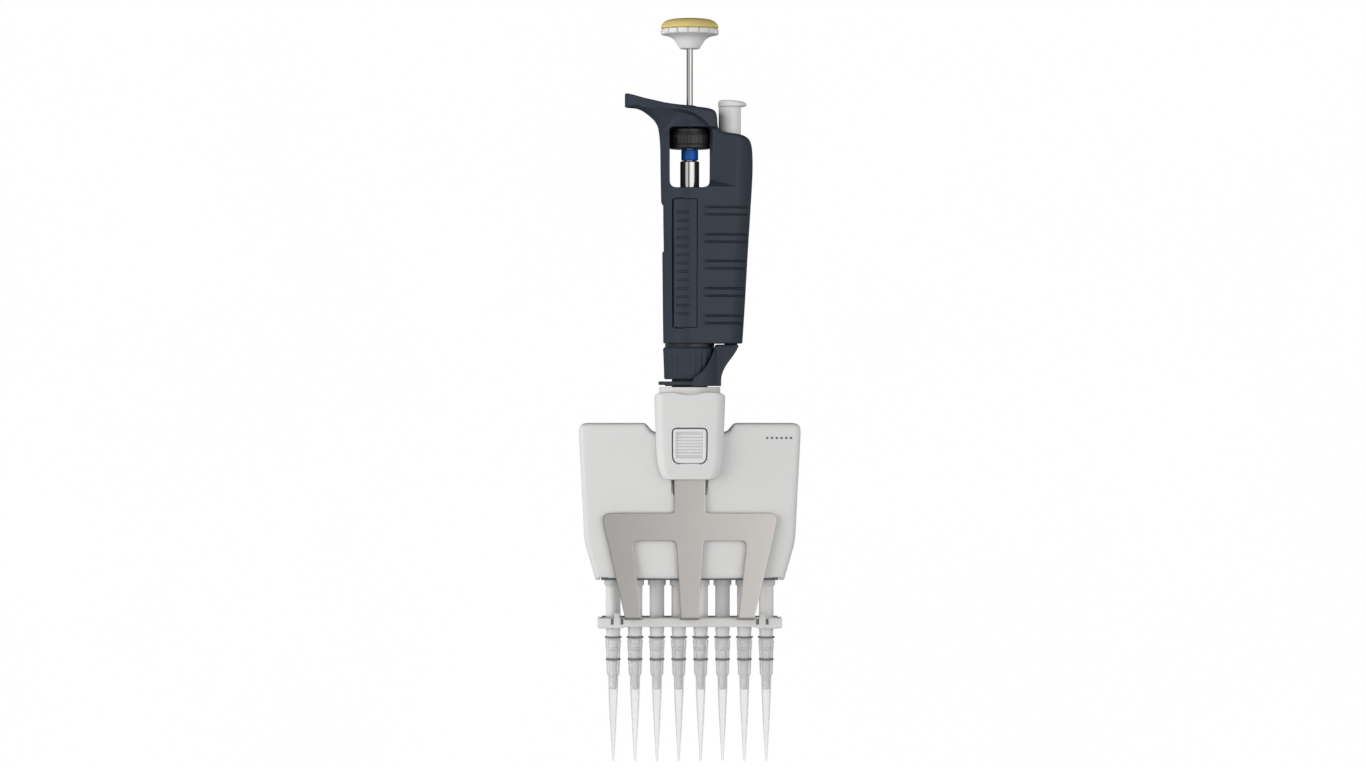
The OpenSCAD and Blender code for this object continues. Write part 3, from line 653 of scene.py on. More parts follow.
BAR = Outline(both_sides([(0, -210.35), (20, -210.35), (36.9, -210.35), (37.65, -210.5), (37.9, -211.1), (37.9, -213.2), (37.7, -213.9), (37.0, -214.12), (34, -214.12), (28.6, -214.12), (27.5, -214.0),
                          (26.6, -213.6), (25.4, -213.5), (18, -213.5), (0, -213.5)]), 2, 0.2, 4)


def bar_field(x, y, z):
    f = smax(BAR(x, z), slab(y, -7, 6), 0.5)
    for s in (-1, 1):
        for c, h in ((11.6, 7.6), (32.3, 5.6)):
            f = np.minimum(f, block(x, y, z, s * c - h, s * c + h, -7, -6.5, -211, -209.95, 0.15))
        for a, b in ((-7.0, -6.5), (5.5, 6.0)):
            f = smin(f, block(x, y, z, s * 29.8 - 1.2, s * 29.8 + 1.2, a, b, -211, -207.7, 0.15), 0.15)
        for e in (-2.0, 2.0):
            f = np.maximum(f, -block(x, y, z, s * 29.75 + e - 0.58, s * 29.75 + e + 0.58, -8, -4.6, -212.4, -209.8, 0.1))
    f = np.minimum(f, block(x, y, z, -37.9, 37.9, 5.5, 6, -211, -209.95, 0.15))
    for c in XS:
        f = smax(f, -(np.hypot(x - c, y) - 3.35), 0.3)
    return f


def knob_field(x, y, z):
    """Ejector button: a stem with an offset thumb plate whose top falls towards its thin lip."""
    stem = rod(x, y, z, 4.6, -22, 1.2, EJ, 0, 0.3)
    plate = circle2(x, y, 5.9, EJ + 1.1)
    top = z - (2.96 - 0.0075 * np.maximum(x - 12, 0) ** 2)
    foot = (0.22 + 0.075 * np.maximum(x - 19, 0)) - z
    f = smax(smax(plate, top, 1.3), foot, 0.45)
    f = smin(f, stem, 0.5)
    return np.maximum(f, -rod(x, y, z, 1.62, -24, -11, EJ))

# ------------------------------------------------------------------ materials


class Mat:
    def __init__(self, name):
        self.m = bpy.data.materials.new(name)
        self.m.use_nodes = True
        self.t = self.m.node_tree
        self.t.nodes.clear()
        self.out = self.node("ShaderNodeOutputMaterial")
        self.coord = self.node("ShaderNodeTexCoord").outputs["Object"]

    def node(self, kind, inputs=None, **props):
        n = self.t.nodes.new(kind)
        for k, v in props.items():
            setattr(n, k, v)
        for k, v in (inputs or {}).items():
            s = n.inputs[k]
            if isinstance(v, bpy.types.NodeSocket):
                self.t.links.new(v, s)
            else:
                s.default_value = v
        return n

    def noise(self, scale, detail=2.0, rough=0.5, stretch=(1, 1, 1), lacunarity=2.0):
        m = self.node("ShaderNodeMapping", {"Vector": self.coord, "Scale": stretch})
        return self.node("ShaderNodeTexNoise", {"Vector": m.outputs[0], "Scale": scale, "Detail": detail, "Roughness": rough}).outputs["Fac"]

    def span(self, v, a, b, c, d):
        return self.node("ShaderNodeMapRange", {0: v, 1: a, 2: b, 3: c, 4: d}).outputs[0]

    def mix(self, f, a, b):
        n = self.node("ShaderNodeMix", data_type="RGBA")
        for i, v in ((0, f), (6, a), (7, b)):
            s = n.inputs[i]
            if isinstance(v, bpy.types.NodeSocket):
                self.t.links.new(v, s)
            else:
                s.default_value = v
        return n.outputs[2]

    def bump(self, height, strength, distance, normal=None):
        ins = {"Height": height, "Strength": strength, "Distance": distance}
        if normal is not None:
            ins["Normal"] = normal
        return self.node("ShaderNodeBump", ins).outputs["Normal"]

    def edges(self, lo=0.52, hi=0.60):
        p = self.node("ShaderNodeNewGeometry").outputs["Pointiness"]
        return self.span(p, lo, hi, 0.0, 1.0)

    def finish(self, shader):
        self.t.links.new(shader, self.out.inputs["Surface"])
        return self.m


def srgb(r, g, b):
    def f(c):
        c /= 255.0
        return c / 12.92 if c <= 0.04045 else ((c + 0.055) / 1.055) ** 2.4
    return (f(r), f(g), f(b), 1.0)


def tint(c, k):
    return (min(c[0] * k, 1), min(c[1] * k, 1), min(c[2] * k, 1), 1.0)


def plastic(name, colour, rough=0.42, grain=0.10, grain_size=0.45, edge_wear_and_highlight=0.25, specular=0.5, coat=0.0, mottle=0.05, sss=0.0):
    """Moulded plastic: fine spark-eroded grain, slow tone and gloss drift, convex edges painted lighter, partly as
    rubbing and partly as a painted highlight.
    """
    k = Mat(name)
    drift = k.noise(70, 3, 0.6)
    fine = k.noise(1000.0 / grain_size, 2, 0.65)
    smear = k.noise(260, 4, 0.7, (1, 1, 0.25))
    base = k.mix(k.span(drift, 0.3, 0.7, 0, 1), tint(colour, 1 - mottle), tint(colour, 1 + mottle))
    # convex edges painted lighter: partly rubbing on the edges, partly a painted highlight where light catches them
    edge = k.node("ShaderNodeMath", {0: k.edges(0.51, 0.58), 1: k.span(smear, 0.35, 0.7, 0.2, 1.0)}, operation="MULTIPLY").outputs[0]
    edge = k.node("ShaderNodeMath", {0: edge, 1: edge_wear_and_highlight}, operation="MULTIPLY").outputs[0]
    base = k.mix(edge, base, tint(colour, 1.5 if colour[0] < 0.3 else 1.08))
    gloss = k.node("ShaderNodeMath", {0: k.span(drift, 0.3, 0.7, rough - 0.04, rough + 0.04), 1: k.span(smear, 0.3, 0.75, -0.03, 0.05)}, operation="ADD").outputs[0]
    gloss = k.node("ShaderNodeMath", {0: gloss, 1: k.node("ShaderNodeMath", {0: edge, 1: 0.25}, operation="MULTIPLY").outputs[0]}, operation="SUBTRACT").outputs[0]
    nrm = k.bump(fine, grain, 0.00006)
    nrm = k.bump(drift, 0.06, 0.0004, nrm)
    ins = {"Base Color": base, "Roughness": gloss, "Normal": nrm, "Specular IOR Level": specular, "IOR": 1.5}
    if coat:
        ins["Coat Weight"] = coat
        ins["Coat Roughness"] = 0.12
    if sss:
        ins["Subsurface Weight"] = sss
        ins["Subsurface Radius"] = (0.9, 0.8, 0.7)
        ins["Subsurface Scale"] = 0.0012
    return k.finish(k.node("ShaderNodeBsdfPrincipled", ins).outputs[0])


def metal(name, colour, rough=0.2, lines=(1, 1, 40), line_scale=120.0, line_depth=0.12, mottle=0.06, spots=0.08):
    """Machined or brushed metal: drawn lines in one direction, handling marks, slightly dull patches."""
    k = Mat(name)
    draw = k.noise(line_scale, 3, 0.6, lines)
    draw2 = k.noise(line_scale * 3.1, 2, 0.5, lines)
    cloud = k.noise(55, 4, 0.65)
    base = k.mix(k.span(draw, 0.25, 0.75, 0, 1), tint(colour, 1 - mottle), tint(colour, 1 + mottle))
    base = k.mix(k.span(cloud, 0.45, 0.8, 0, spots), base, tint(colour, 0.75))
    r = k.node("ShaderNodeMath", {0: k.span(draw2, 0.25, 0.75, rough * 0.75, rough * 1.25), 1: k.span(cloud, 0.3, 0.8, -0.02, 0.08)}, operation="ADD").outputs[0]
    nrm = k.bump(draw, line_depth, 0.00005)
    nrm = k.bump(draw2, line_depth * 0.6, 0.00003, nrm)
    return k.finish(k.node("ShaderNodeBsdfPrincipled", {"Base Color": base, "Roughness": r, "Metallic": 1.0, "Normal": nrm}).outputs[0])


def sheet_metal(name, colour, rough, x0, x1, shade_tone, lit_tone):
    """Bead-blasted steel sheet: fine grain, faint drawn lines, and painted shade across it, darker on one side and
    lighter on the other as the reflected light falls.
    """
    k = Mat(name)
    grain = k.noise(1500, 3, 0.65)
    draw = k.noise(70, 3, 0.6, (14, 14, 1))
    cloud = k.noise(45, 3, 0.6)
    along = k.node("ShaderNodeSeparateXYZ", {"Vector": k.coord}).outputs["X"]
    # painted shade and painted reflection: the base colour runs from darker at x0 to lighter at x1 along the sheet
    base = k.mix(k.span(along, x0, x1, 0, 1), tint(colour, shade_tone), tint(colour, lit_tone))
    base = k.mix(k.span(draw, 0.3, 0.7, 0, 0.05), base, tint(colour, 0.7))
    base = k.mix(k.span(cloud, 0.45, 0.8, 0, 0.06), base, tint(colour, 0.8))
    r = k.node("ShaderNodeMath", {0: k.span(cloud, 0.3, 0.75, rough - 0.03, rough + 0.03), 1: k.span(grain, 0.3, 0.7, -0.02, 0.02)}, operation="ADD").outputs[0]
    nrm = k.bump(grain, 0.08, 0.00004)
    nrm = k.bump(draw, 0.03, 0.00004, nrm)
    return k.finish(k.node("ShaderNodeBsdfPrincipled", {"Base Color": base, "Roughness": r, "Metallic": 1.0, "Normal": nrm}).outputs[0])


def clear_plastic(name, colour, rough, transmission, grain=0.05, milk=0.2):
    """Clear or milky polymer with flow marks along its length."""
    k = Mat(name)
    flow = k.noise(320, 3, 0.6, (1, 1, 0.12))
    fine = k.noise(2600, 2, 0.6)
    haze = k.span(flow, 0.3, 0.75, 0.0, 1.0)
    base = k.mix(haze, tint(colour, 0.97), tint(colour, 1.02))
    r = k.span(flow, 0.3, 0.75, rough * 0.8, rough * 1.3)
    nrm = k.bump(fine, grain, 0.00002)
    nrm = k.bump(flow, 0.012, 0.00004, nrm)
    p = k.node("ShaderNodeBsdfPrincipled", {"Base Color": base, "Roughness": r, "IOR": 1.49, "Transmission Weight": transmission, "Normal": nrm}).outputs[0]
    if not milk:
        return k.finish(p)
    tr = k.node("ShaderNodeBsdfTranslucent", {"Color": tint(colour, 0.98), "Normal": nrm}).outputs[0]
    amount = k.span(flow, 0.3, 0.75, milk * 0.85, milk * 1.15)
    mx = k.node("ShaderNodeMixShader", {0: amount, 1: p, 2: tr}).outputs[0]
    return k.finish(mx)


def film(name, clear, body, rings):
    """Thin clear moulding: mostly see-through, a little haze along its length, darker grey painted in at grazing edges
    as painted shade, and rings of painted shadow at two heights.
    """
    k = Mat(name)
    flow = k.noise(260, 3, 0.6, (1, 1, 0.12))
    fine = k.noise(1800, 2, 0.6)
    see = k.node("ShaderNodeBsdfTransparent", {"Color": k.mix(k.span(flow, 0.3, 0.75, 0, 1), clear, tint(clear, 0.97))}).outputs[0]
    r = k.span(fine, 0.3, 0.7, 0.12, 0.2)
    edge_shade_wall = k.node("ShaderNodeBsdfPrincipled", {"Base Color": k.mix(k.span(fine, 0.3, 0.7, 0, 1), tint(body, 1.7), tint(body, 1.9)), "Roughness": r}).outputs[0]
    # painted shade: the view-angle weight mixes in the grey surface at grazing edges so the tips get dark outlines; the
    # flow noise adds a little real haze
    gloss = k.node("ShaderNodeFresnel", {"IOR": 1.3}).outputs[0]
    haze = k.node("ShaderNodeMath", {0: k.span(gloss, 0.0, 0.6, 0.012, 0.5), 1: k.span(flow, 0.3, 0.75, 0.0, 0.03)}, operation="ADD").outputs[0]
    thin = k.node("ShaderNodeMixShader", {0: haze, 1: see, 2: edge_shade_wall}).outputs[0]
    # painted shadow: dark grey rings at the two heights given by the last argument
    z = k.node("ShaderNodeSeparateXYZ", {"Vector": k.coord}).outputs["Z"]
    shadow_band = None
    for level in rings:
        d = k.node("ShaderNodeMath", {0: k.node("ShaderNodeMath", {0: z, 1: level}, operation="SUBTRACT").outputs[0]}, operation="ABSOLUTE").outputs[0]
        one = k.span(d, 0.00030, 0.00048, 0.8, 0.0)
        shadow_band = one if shadow_band is None else k.node("ShaderNodeMath", {0: shadow_band, 1: one}, operation="MAXIMUM").outputs[0]
    ring_shadow = k.node("ShaderNodeBsdfPrincipled", {"Base Color": tint(body, 0.42), "Roughness": r}).outputs[0]
    return k.finish(k.node("ShaderNodeMixShader", {0: shadow_band, 1: thin, 2: ring_shadow}).outputs[0])


def rubber(name, colour, rough=0.6):
    k = Mat(name)
    a, b = k.noise(900, 3, 0.7), k.noise(120, 3, 0.6)
    base = k.mix(k.span(b, 0.3, 0.7, 0, 1), tint(colour, 0.85), tint(colour, 1.2))
    nrm = k.bump(a, 0.18, 0.00006)
    return k.finish(k.node("ShaderNodeBsdfPrincipled", {"Base Color": base, "Roughness": k.span(a, 0.3, 0.7, rough - 0.08, rough + 0.08), "Normal": nrm}).outputs[0])


M = {
    "navy_plastic": plastic("navy_plastic", srgb(43, 49, 60), 0.48, 0.16, 0.40, 0.35, 0.35, mottle=0.05),
    "light_plastic": plastic("light_plastic", srgb(212, 212, 211), 0.42, 0.08, 0.5, 0.2, 0.45, mottle=0.012),
    "white_plastic": plastic("white_plastic", srgb(220, 219, 219), 0.36, 0.06, 0.5, 0.2, 0.5, mottle=0.012),
    "yellow_plastic": plastic("yellow_plastic", srgb(212, 193, 122), 0.40, 0.07, 0.4, 0.25, 0.45, mottle=0.03),
    "black_plastic": plastic("black_plastic", srgb(36, 36, 34), 0.34, 0.12, 0.35, 0.35, 0.5, mottle=0.08),
    "blue_plastic": plastic("blue_plastic", srgb(14, 84, 172), 0.42, 0.05, 0.4, 0.25, 0.35, mottle=0.05),
    "grey_plastic": plastic("grey_plastic", srgb(218, 218, 217), 0.34, 0.07, 0.45, 0.2, 0.5, mottle=0.02),
    "inner_plastic": plastic("inner_plastic", srgb(86, 90, 96), 0.5, 0.12, 0.5, 0.2, 0.4, mottle=0.06),
    "natural_plastic": plastic("natural_plastic", srgb(228, 226, 216), 0.45, 0.07, 0.5, 0.15, 0.4, mottle=0.03, sss=0.15),
    "red_plastic": plastic("red_plastic", srgb(196, 52, 44), 0.4, 0.08, 0.4, 0.2, 0.45, mottle=0.05),
    "polished_steel": metal("polished_steel", srgb(214, 211, 207), 0.09, (1, 1, 0.2), 60, 0.012, 0.02, 0.04),
    "brushed_sheet": sheet_metal("brushed_sheet", srgb(226, 222, 218), 0.44, (AX - 34) / 1000, (AX + 30) / 1000, 0.74, 1.06),
    "spring_steel": metal("spring_steel", srgb(190, 192, 196), 0.24, (6, 6, 6), 160, 0.08, 0.08, 0.15),
    "brass": metal("brass", srgb(204, 172, 104), 0.26, (1, 1, 28), 150, 0.10, 0.06, 0.18),
    "alloy": metal("alloy", srgb(196, 198, 202), 0.32, (1, 1, 20), 150, 0.12, 0.06, 0.12),
    "black_rubber": rubber("black_rubber", srgb(28, 28, 29)),
    "clear_lens": clear_plastic("clear_lens", (0.95, 0.97, 0.98, 1), 0.04, 0.95, 0.01, 0.0),
    "clear_tip": film("clear_tip", (0.975, 0.975, 0.975, 1), (0.42, 0.42, 0.42, 1), (-0.2180, -0.2271)),
}

# ------------------------------------------------------------------ pieces


def place(ob, body, slot, *nodes):
    ob.data.materials.clear()
    ob.data.materials.append(M[slot])
    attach(ob, body)
    if nodes:
        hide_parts(*nodes)
    return ob


def arc_rows(cx, cz, r, a0, a1, n):
    """Profile rows (r, z, nr, nz) on an arc."""
    out = []
    for i in range(n + 1):
        t = math.radians(a0 + (a1 - a0) * i / n)
        out.append((cx + r * math.cos(t), cz + r * math.sin(t), math.cos(t), math.sin(t)))
    return out


SEG = 96

# handle and label
place(
    solid("handle_visual", handle_field,
          spaced((-28.6, -13.2, 0.6), (-13.2, -7, 0.42), (-7, 3.4, 0.5), (3.4, 26, 0.45), (26, 27.9, 0.4)),
          spaced((-14.2, -10.8, 0.34), (-10.8, -7.2, 0.42), (-7.2, 7.2, 0.8), (7.2, 10.8, 0.42), (10.8, 14.2, 0.34)),
          spaced((-98.4, -95.6, 0.4), (-95.6, -38, 0.34), (-38, -1, 0.42), (-1, 7.6, 0.4)), 0.62, 0.5),
    "handle", "navy_plastic", "handle_shell")
place(
    solid("handle_label", label_field, spaced((-7.4, 3.6, 0.2)), spaced((-13.6, -9.4, 0.2)), spaced((-91.4, -37.4, 0.2)), 0.7, 0.25),
    "handle", "navy_plastic")
place(
    solid("counter_lens_visual", lens_field, spaced((-11.4, -8.6, 0.2)), spaced((-3.6, 3.6, 0.3)), spaced((-59.8, -39.5, 0.4)), 0.8, 0.2),
    "handle", "clear_lens", "volumeter_window")
place(
    solid("ejector_button_visual", knob_field, spaced((EJ - 7, EJ + 9, 0.3)), spaced((-7, 7, 0.3)), spaced((-23, -1.5, 0.5), (-1.5, 4.5, 0.25)), 1.0, 0.25),
    "ejector_drive", "white_plastic", "ejector_button")
place(
    solid("ejector_arm_visual", arm_field, spaced((-14.2, 21.4, 0.34)), spaced((-14.2, 14.2, 0.36)), spaced((-115.6, -93.4, 0.3)), 1.0, 0.3),
    "ejector_drive", "navy_plastic", "ejector_arm")
place(
    solid("ejector_collar_visual", collar_field, spaced((-15.8, 15.8, 0.34)), spaced((-16.6, -8.6, 0.3), (-8.6, 13.6, 0.5)), spaced((-154.4, -125, 0.34), (-125, -114.2, 0.28)), 1.0, 0.3),
    "ejector_slide", "light_plastic", "ejector_collar")
place(
    solid("release_button_visual", release_field, spaced((-8, 8, 0.2)), spaced((-16.4, -10.8, 0.2)), spaced((-147.3375, -131.2725, 0.1575)), 1.0, 0.2),
    "release", "white_plastic", "release_button")


def grip_pad():
    """Ribbed pad set in the release button: a grooved section drawn out across the button."""
    y0, top, low = -15.38, -133.72, -143.78
    line = [(y0 + 0.1, top), (y0, top - 0.1)]
    for i in range(8):
        c = top - 0.62 - i * 1.26
        line += [(y0, c + 0.3), (y0 + 0.12, c + 0.22), (y0 + 0.62, c + 0.14), (y0 + 0.62, c - 0.14), (y0 + 0.12, c - 0.22), (y0, c - 0.3)]
    line += [(y0, low + 0.1), (y0 + 0.1, low)]
    m = len(line)
    loop = line + [(-14.66, z) for y, z in reversed(line)]
    n = len(loop)
    V = [(-5.18 + 10.36 * i / 12, y, z) for i in range(13) for y, z in loop]
    F = [(i * n + j, i * n + (j + 1) % n, (i + 1) * n + (j + 1) % n, (i + 1) * n + j) for i in range(12) for j in range(n)]
    for j in range(m - 1):
        F.append((j + 1, j, n - 1 - j, n - 2 - j))
        F.append((12 * n + j, 12 * n + j + 1, 12 * n + n - 2 - j, 12 * n + n - 1 - j))
    ob = make_mesh("release_pad", V, F)
    ob.data.polygons.foreach_set("use_smooth", np.zeros(len(ob.data.polygons), bool))
    ob.data.update()
    return ob


place(grip_pad(), "release", "white_plastic")
place(
    solid("front_cover_visual", lambda x, y, z: cover_field(x, y, z, -1), spaced((-46.4, -9.5, 0.55), (-9.5, 9.5, 0.4), (9.5, 46.4, 0.55)), spaced((-12, -6, 0.4), (-6, 0.9, 0.6)), spaced((-195.2, -128.8, 0.5)), 0.85, 0.4),
    "manifold", "light_plastic", "manifold_front_cover")
place(
    solid("rear_cover_visual", lambda x, y, z: cover_field(x, y, z, 1), spaced((-46.4, 46.4, 0.55)), spaced((-0.9, 6, 0.6), (6, 12, 0.4)), spaced((-195.2, -128.8, 0.55)), 0.85, 0.4),
    "manifold", "light_plastic", "manifold_rear_cover")
place(
    solid("ejector_fork_visual", fork_field, spaced((-37, 37, 0.36)), spaced((-12.9, -10.7, 0.2), (-10.7, 6.2, 0.42)), spaced((-210.9, -208.2, 0.2), (-208.2, -137.2, 0.36)), 0.8, 0.22),
    "ejector_slide", "brushed_sheet", "ejector_fork")
place(
    solid("stripper_bar_visual", bar_field, spaced((-38.6, 38.6, 0.28)), spaced((-7.6, -5.2, 0.24), (-5.2, 5.0, 0.42), (5.0, 6.6, 0.24)), spaced((-214.9, -206.9, 0.24)), 0.9, 0.22),
    "ejector_slide", "light_plastic", "stripper_bar")


def flutes(r, z, th):
    if r < 8:
        return np.zeros_like(th)
    a = (th + math.radians(90 + 3)) % (math.pi / 8)
    a = np.minimum(a, math.pi / 8 - a) * r
    return -0.85 * np.exp(-((a / 0.34) ** 2)) * float(ramp(r, 9.8, 11.5))


place(
    lathe("push_button_visual", [shifted(rounded(
        [(0, 29.8), (1.42, 29.8, 0.05), (1.42, 24.1, 0.1), (3.9, 24.1, 0.25), (4.25, 24.5, 0.4), (4.75, 25.3, 1.0), (5.2, 26.0, 1.5), (5.66, 26.8, 2.0), (6.25, 27.65, 2.0),
         (7.1, 28.45, 2.0), (8.2, 29.05, 2.0), (9.3, 29.45, 1.5), (10.6, 29.75, 1.0), (11.6, 29.95, 0.25), (11.93, 30.25, 0.2), (11.93, 31.9, 0.12), (11.75, 32.0, 0.05), (0, 32.0)], False))], 480, flutes),
    "plunger", "white_plastic", "push_button")


def turned(name, profiles, body, slot, nodes, seg=SEG, mod=None):
    return place(lathe(name, profiles, seg, mod), body, slot, *nodes)


DOME = [(11.85, 32.85), (11.78, 33.3), (11.55, 33.9), (11.2, 34.5), (10.65, 35.1), (9.9, 35.58), (8.9, 35.95), (7.6, 36.23), (6, 36.4), (4, 36.52), (2, 36.58)]
turned("button_cap_visual", [shifted(rounded(
    [(0, 32.05), (10.9, 32.05, 0.05), (10.9, 32.36, 0.05), (11.6, 32.4, 0.1)] + [(a, b, 3.0) for a, b in DOME] + [(0, 36.6)], False))],
    "plunger", "yellow_plastic", ["button_cap"], 160)
turned("plunger_rod_visual", [shifted(rounded([(0, -137.9), (1.3, -137.9, 0.25), (1.3, 29.7, 0.1), (0, 29.7)], False))],
       "plunger", "polished_steel", ["plunger_rod"], 64)


def knurl(r, z, th):
    if not (8.25 < r < 8.5 and -15.2 < z < -11.6):
        return np.zeros_like(th)
    return -0.09 * (0.5 + 0.5 * np.cos(24 * th)) ** 3


turned("thumbwheel_visual", [shifted(rounded(
    [(2.25, -17.1, 0.2), (8.0, -17.1, 0.3), (8.38, -16.75, 0.3), (8.38, -15.75, 0.15), (8.15, -15.45, 0.1), (8.38, -15.15, 0.15), (8.38, -13.4, 0.3), (8.38, -11.65, 0.2), (8.1, -11.32, 0.15),
     (7.7, -11.3, 0.05), (7.7, -10.75, 0.25), (7.35, -10.42, 0.12), (7.05, -10.42, 0.05), (7.05, -9.15, 0.3), (6.7, -8.8, 0.15), (2.25, -8.8, 0.2)]))],
    "volume_dial", "black_plastic", ["thumbwheel"], 480, knurl)
turned("friction_ring_visual", [shifted(rounded(
    [(2.24, -21.9, 0.1), (3.15, -21.9, 0.25), (3.5, -21.5, 0.3), (3.5, -17.8, 0.3), (3.15, -17.4, 0.25), (2.24, -17.4, 0.1)]))],
    "volume_dial", "blue_plastic", ["friction_ring"])
turned("micrometer_screw_visual", [shifted(rounded(
    [(1.7, -66, 0.1), (3.5, -66, 0.1), (3.93, -65.6, 0.15), (3.93, -22.6, 0.15), (3.6, -22.2, 0.12), (2.57, -22.2, 0.1), (2.57, -36.6, 0.1), (1.7, -36.6, 0.1)]))],
    "micrometer", "polished_steel", ["micrometer_screw"], 128)


def nut_flutes(r, z, th):
    if r < 9.6 or z > -99.6:
        return np.zeros_like(th)
    depth = 0.36 * float(ramp(z, -110.4, -108.6)) * float(1 - ramp(z, -101.6, -100.4))
    return -depth * (0.5 + 0.5 * np.cos(24 * th)) ** 2


steps = [(10.58 + 0.0385 * i, -111.0 + 1.0 * i, 2.0) for i in range(12)]
turned("coupling_nut_visual", [shifted(rounded(
    [(7.7, -111.9, 0.1), (10.2, -111.9, 0.2), (10.5, -111.6, 0.25)] + steps +
    [(11.0, -99.5, 0.25), (10.5, -98.68, 0.2), (9.6, -98.66, 0.1), (9.0, -98.66, 0.08), (9.0, -108, 0.08), (7.7, -108, 0.08)]))],
    "nut", "navy_plastic", ["coupling_nut"], 288, nut_flutes)

HOLDER = rounded(
    [(0.9, -239.5, 0.05), (1.12, -239.5, 0.2), (1.35, -238.9, 0.4), (2.05, -223.5, 0.15), (2.45, -223.2, 0.2), (2.6, -222.7, 0.3), (2.45, -222.2, 0.2), (2.12, -222, 0.15), (2.2, -219.4, 0.3),
     (2.68, -217.9, 0.3), (2.75, -217.4, 0.6), (3.0, -214, 1.5), (3.0, -197.1, 0.25), (3.25, -196.75, 0.15), (3.7, -196.4, 0.2), (3.7, -194.4, 0.2), (3.4, -194.15, 0.1), (3.0, -194.15, 0.05), (3.0, -187, 0.15), (2.4, -187, 0.1),
     (2.4, -164, 0.1), (0.9, -164, 0.05)])
turned("tip_holders_visual", [(HOLDER, c, 0.0) for c in XS], "manifold", "grey_plastic", ["tip_holders"], 64)

TIP = rounded(
    [(0.25, -268.9, 0.03), (0.45, -268.9, 0.06), (1.38, -252.8, 2.0), (1.68, -246.9, 1.0), (1.93, -241, 2.0), (2.06, -234.2, 0.3), (2.5, -233.4, 0.2), (2.68, -232.9, 0.2), (2.82, -227.6, 0.1), (3.08, -227.4, 0.08),
     (3.08, -226.75, 0.08), (2.86, -226.6, 0.1), (2.9, -222.5, 0.1), (3.0, -222.3, 0.1), (3.04, -220.6, 0.1), (3.25, -220.2, 0.15), (3.25, -219.3, 0.15), (3.0, -218.9, 0.1), (3.0, -218.4, 0.05),
     (3.48, -218.3, 0.08), (3.48, -217.65, 0.1), (3.3, -217.6, 0.05), (2.85, -217.6, 0.08), (2.78, -221.2, 0.5), (2.64, -227.6, 0.5), (2.34, -232.6, 0.3), (1.8, -233.6, 0.3), (1.66, -241, 1.0),
     (1.4, -246.9, 1.0), (1.1, -252.8, 1.0)])


def tip_ribs(r, z, th):
    if r < 2.84 or r > 3.1 or not (-226.5 < z < -219.0):
        return np.zeros_like(th)
    return 0.12 * (0.5 + 0.5 * np.cos(12 * th)) ** 4


turned("tips_visual", [(TIP, c, 0.0) for c in XS], "tip_set", "clear_tip", ["tips"], 72, tip_ribs)



def dots(name, xs, z, r, y_of, lift):
    """A row of small raised dots on the front cover, each a closed dome."""
    V, N, F = [], [], []
    for cx in xs:
        base, y0, seg = len(V), y_of(cx), 20
        rings = [(r, 0.12), (r, -0.2 * lift), (r * 0.94, -0.62 * lift), (r * 0.75, -0.88 * lift), (r * 0.4, -lift)]
        for a, d in rings:
            for j in range(seg):
                t = 2 * math.pi * j / seg
                V.append((cx + a * math.cos(t), y0 + d, z + a * math.sin(t)))
        V.append((cx, y0 - lift * 1.02, z))
        V.append((cx, y0 + 0.12, z))
        for k in range(len(rings) - 1):
            for j in range(seg):
                a, b = base + k * seg + j, base + k * seg + (j + 1) % seg
                F += [(a, b, b + seg), (a, b + seg, a + seg)]
        last, tip, back = base + (len(rings) - 1) * seg, len(V) - 2, len(V) - 1
        for j in range(seg):
            F.append((last + j, last + (j + 1) % seg, tip))
            F.append((base + (j + 1) % seg, base + j, back))
    return make_mesh(name, V, F)


place(dots("front_dots", [31.7 + 1.95 * i for i in range(6)], -135.9, 0.5, lambda x: -11.0 + 0.35 * (x / 45.0) ** 2, 0.12), "manifold", "inner_plastic")

# ------------------------------------------------------------------ carried-over parts
SLOTS = {p["node"]: p["material_slot"] for p in frame["record"].get("subparts", []) if "material_slot" in p}
for n, ob in frame["nodes"].items():
    if ob.hide_render:
        continue
    s = SLOTS[n]
    ob.data.materials.clear()
    ob.data.materials.append(M[s])

# ------------------------------------------------------------------ stage, light, camera
CX, CZ, DIST = (AX - 2.76) / 1000, -0.11383, 1.642


def stage_mat(name, level):
    k = Mat(name)
    n = k.noise(3, 2, 0.5)
    c = k.mix(k.span(n, 0.3, 0.7, 0, 1), (level, level, level, 1), (level * 0.997, level * 0.997, level * 0.997, 1))
    return k.finish(k.node("ShaderNodeEmission", {"Color": c, "Strength": 1.0}).outputs[0])


def stage_piece(name, make, mat):
    me = bpy.data.meshes.new(name)
    bm = bmesh.new()
    make(bm)
    bm.to_mesh(me)
    bm.free()
    ob = bpy.data.objects.new(name, me)
    bpy.context.scene.collection.objects.link(ob)
    me.materials.append(mat)
    ob.visible_diffuse = False
    ob.visible_glossy = False
    ob.visible_shadow = False
    ob.visible_transmission = True
    return ob


WHITE = stage_mat("studio_white", 1.0)
PALE = stage_mat("floor_pale", 0.975)


def dome(bm):
    bmesh.ops.create_icosphere(bm, subdivisions=4, radius=4.0)
    bmesh.ops.translate(bm, verts=bm.verts, vec=(CX, 0, CZ))


def floor(bm):
    bmesh.ops.create_circle(bm, cap_ends=True, segments=96, radius=0.42)
    bmesh.ops.translate(bm, verts=bm.verts, vec=(CX, 0, -0.336))


stage_piece("backdrop", dome, WHITE)
stage_piece("floor", floor, PALE)

world = bpy.data.worlds.new("studio")
bpy.context.scene.world = world
world.use_nodes = True
wt = world.node_tree
wt.nodes.clear()
wo = wt.nodes.new("ShaderNodeOutputWorld")
wb = wt.nodes.new("ShaderNodeBackground")
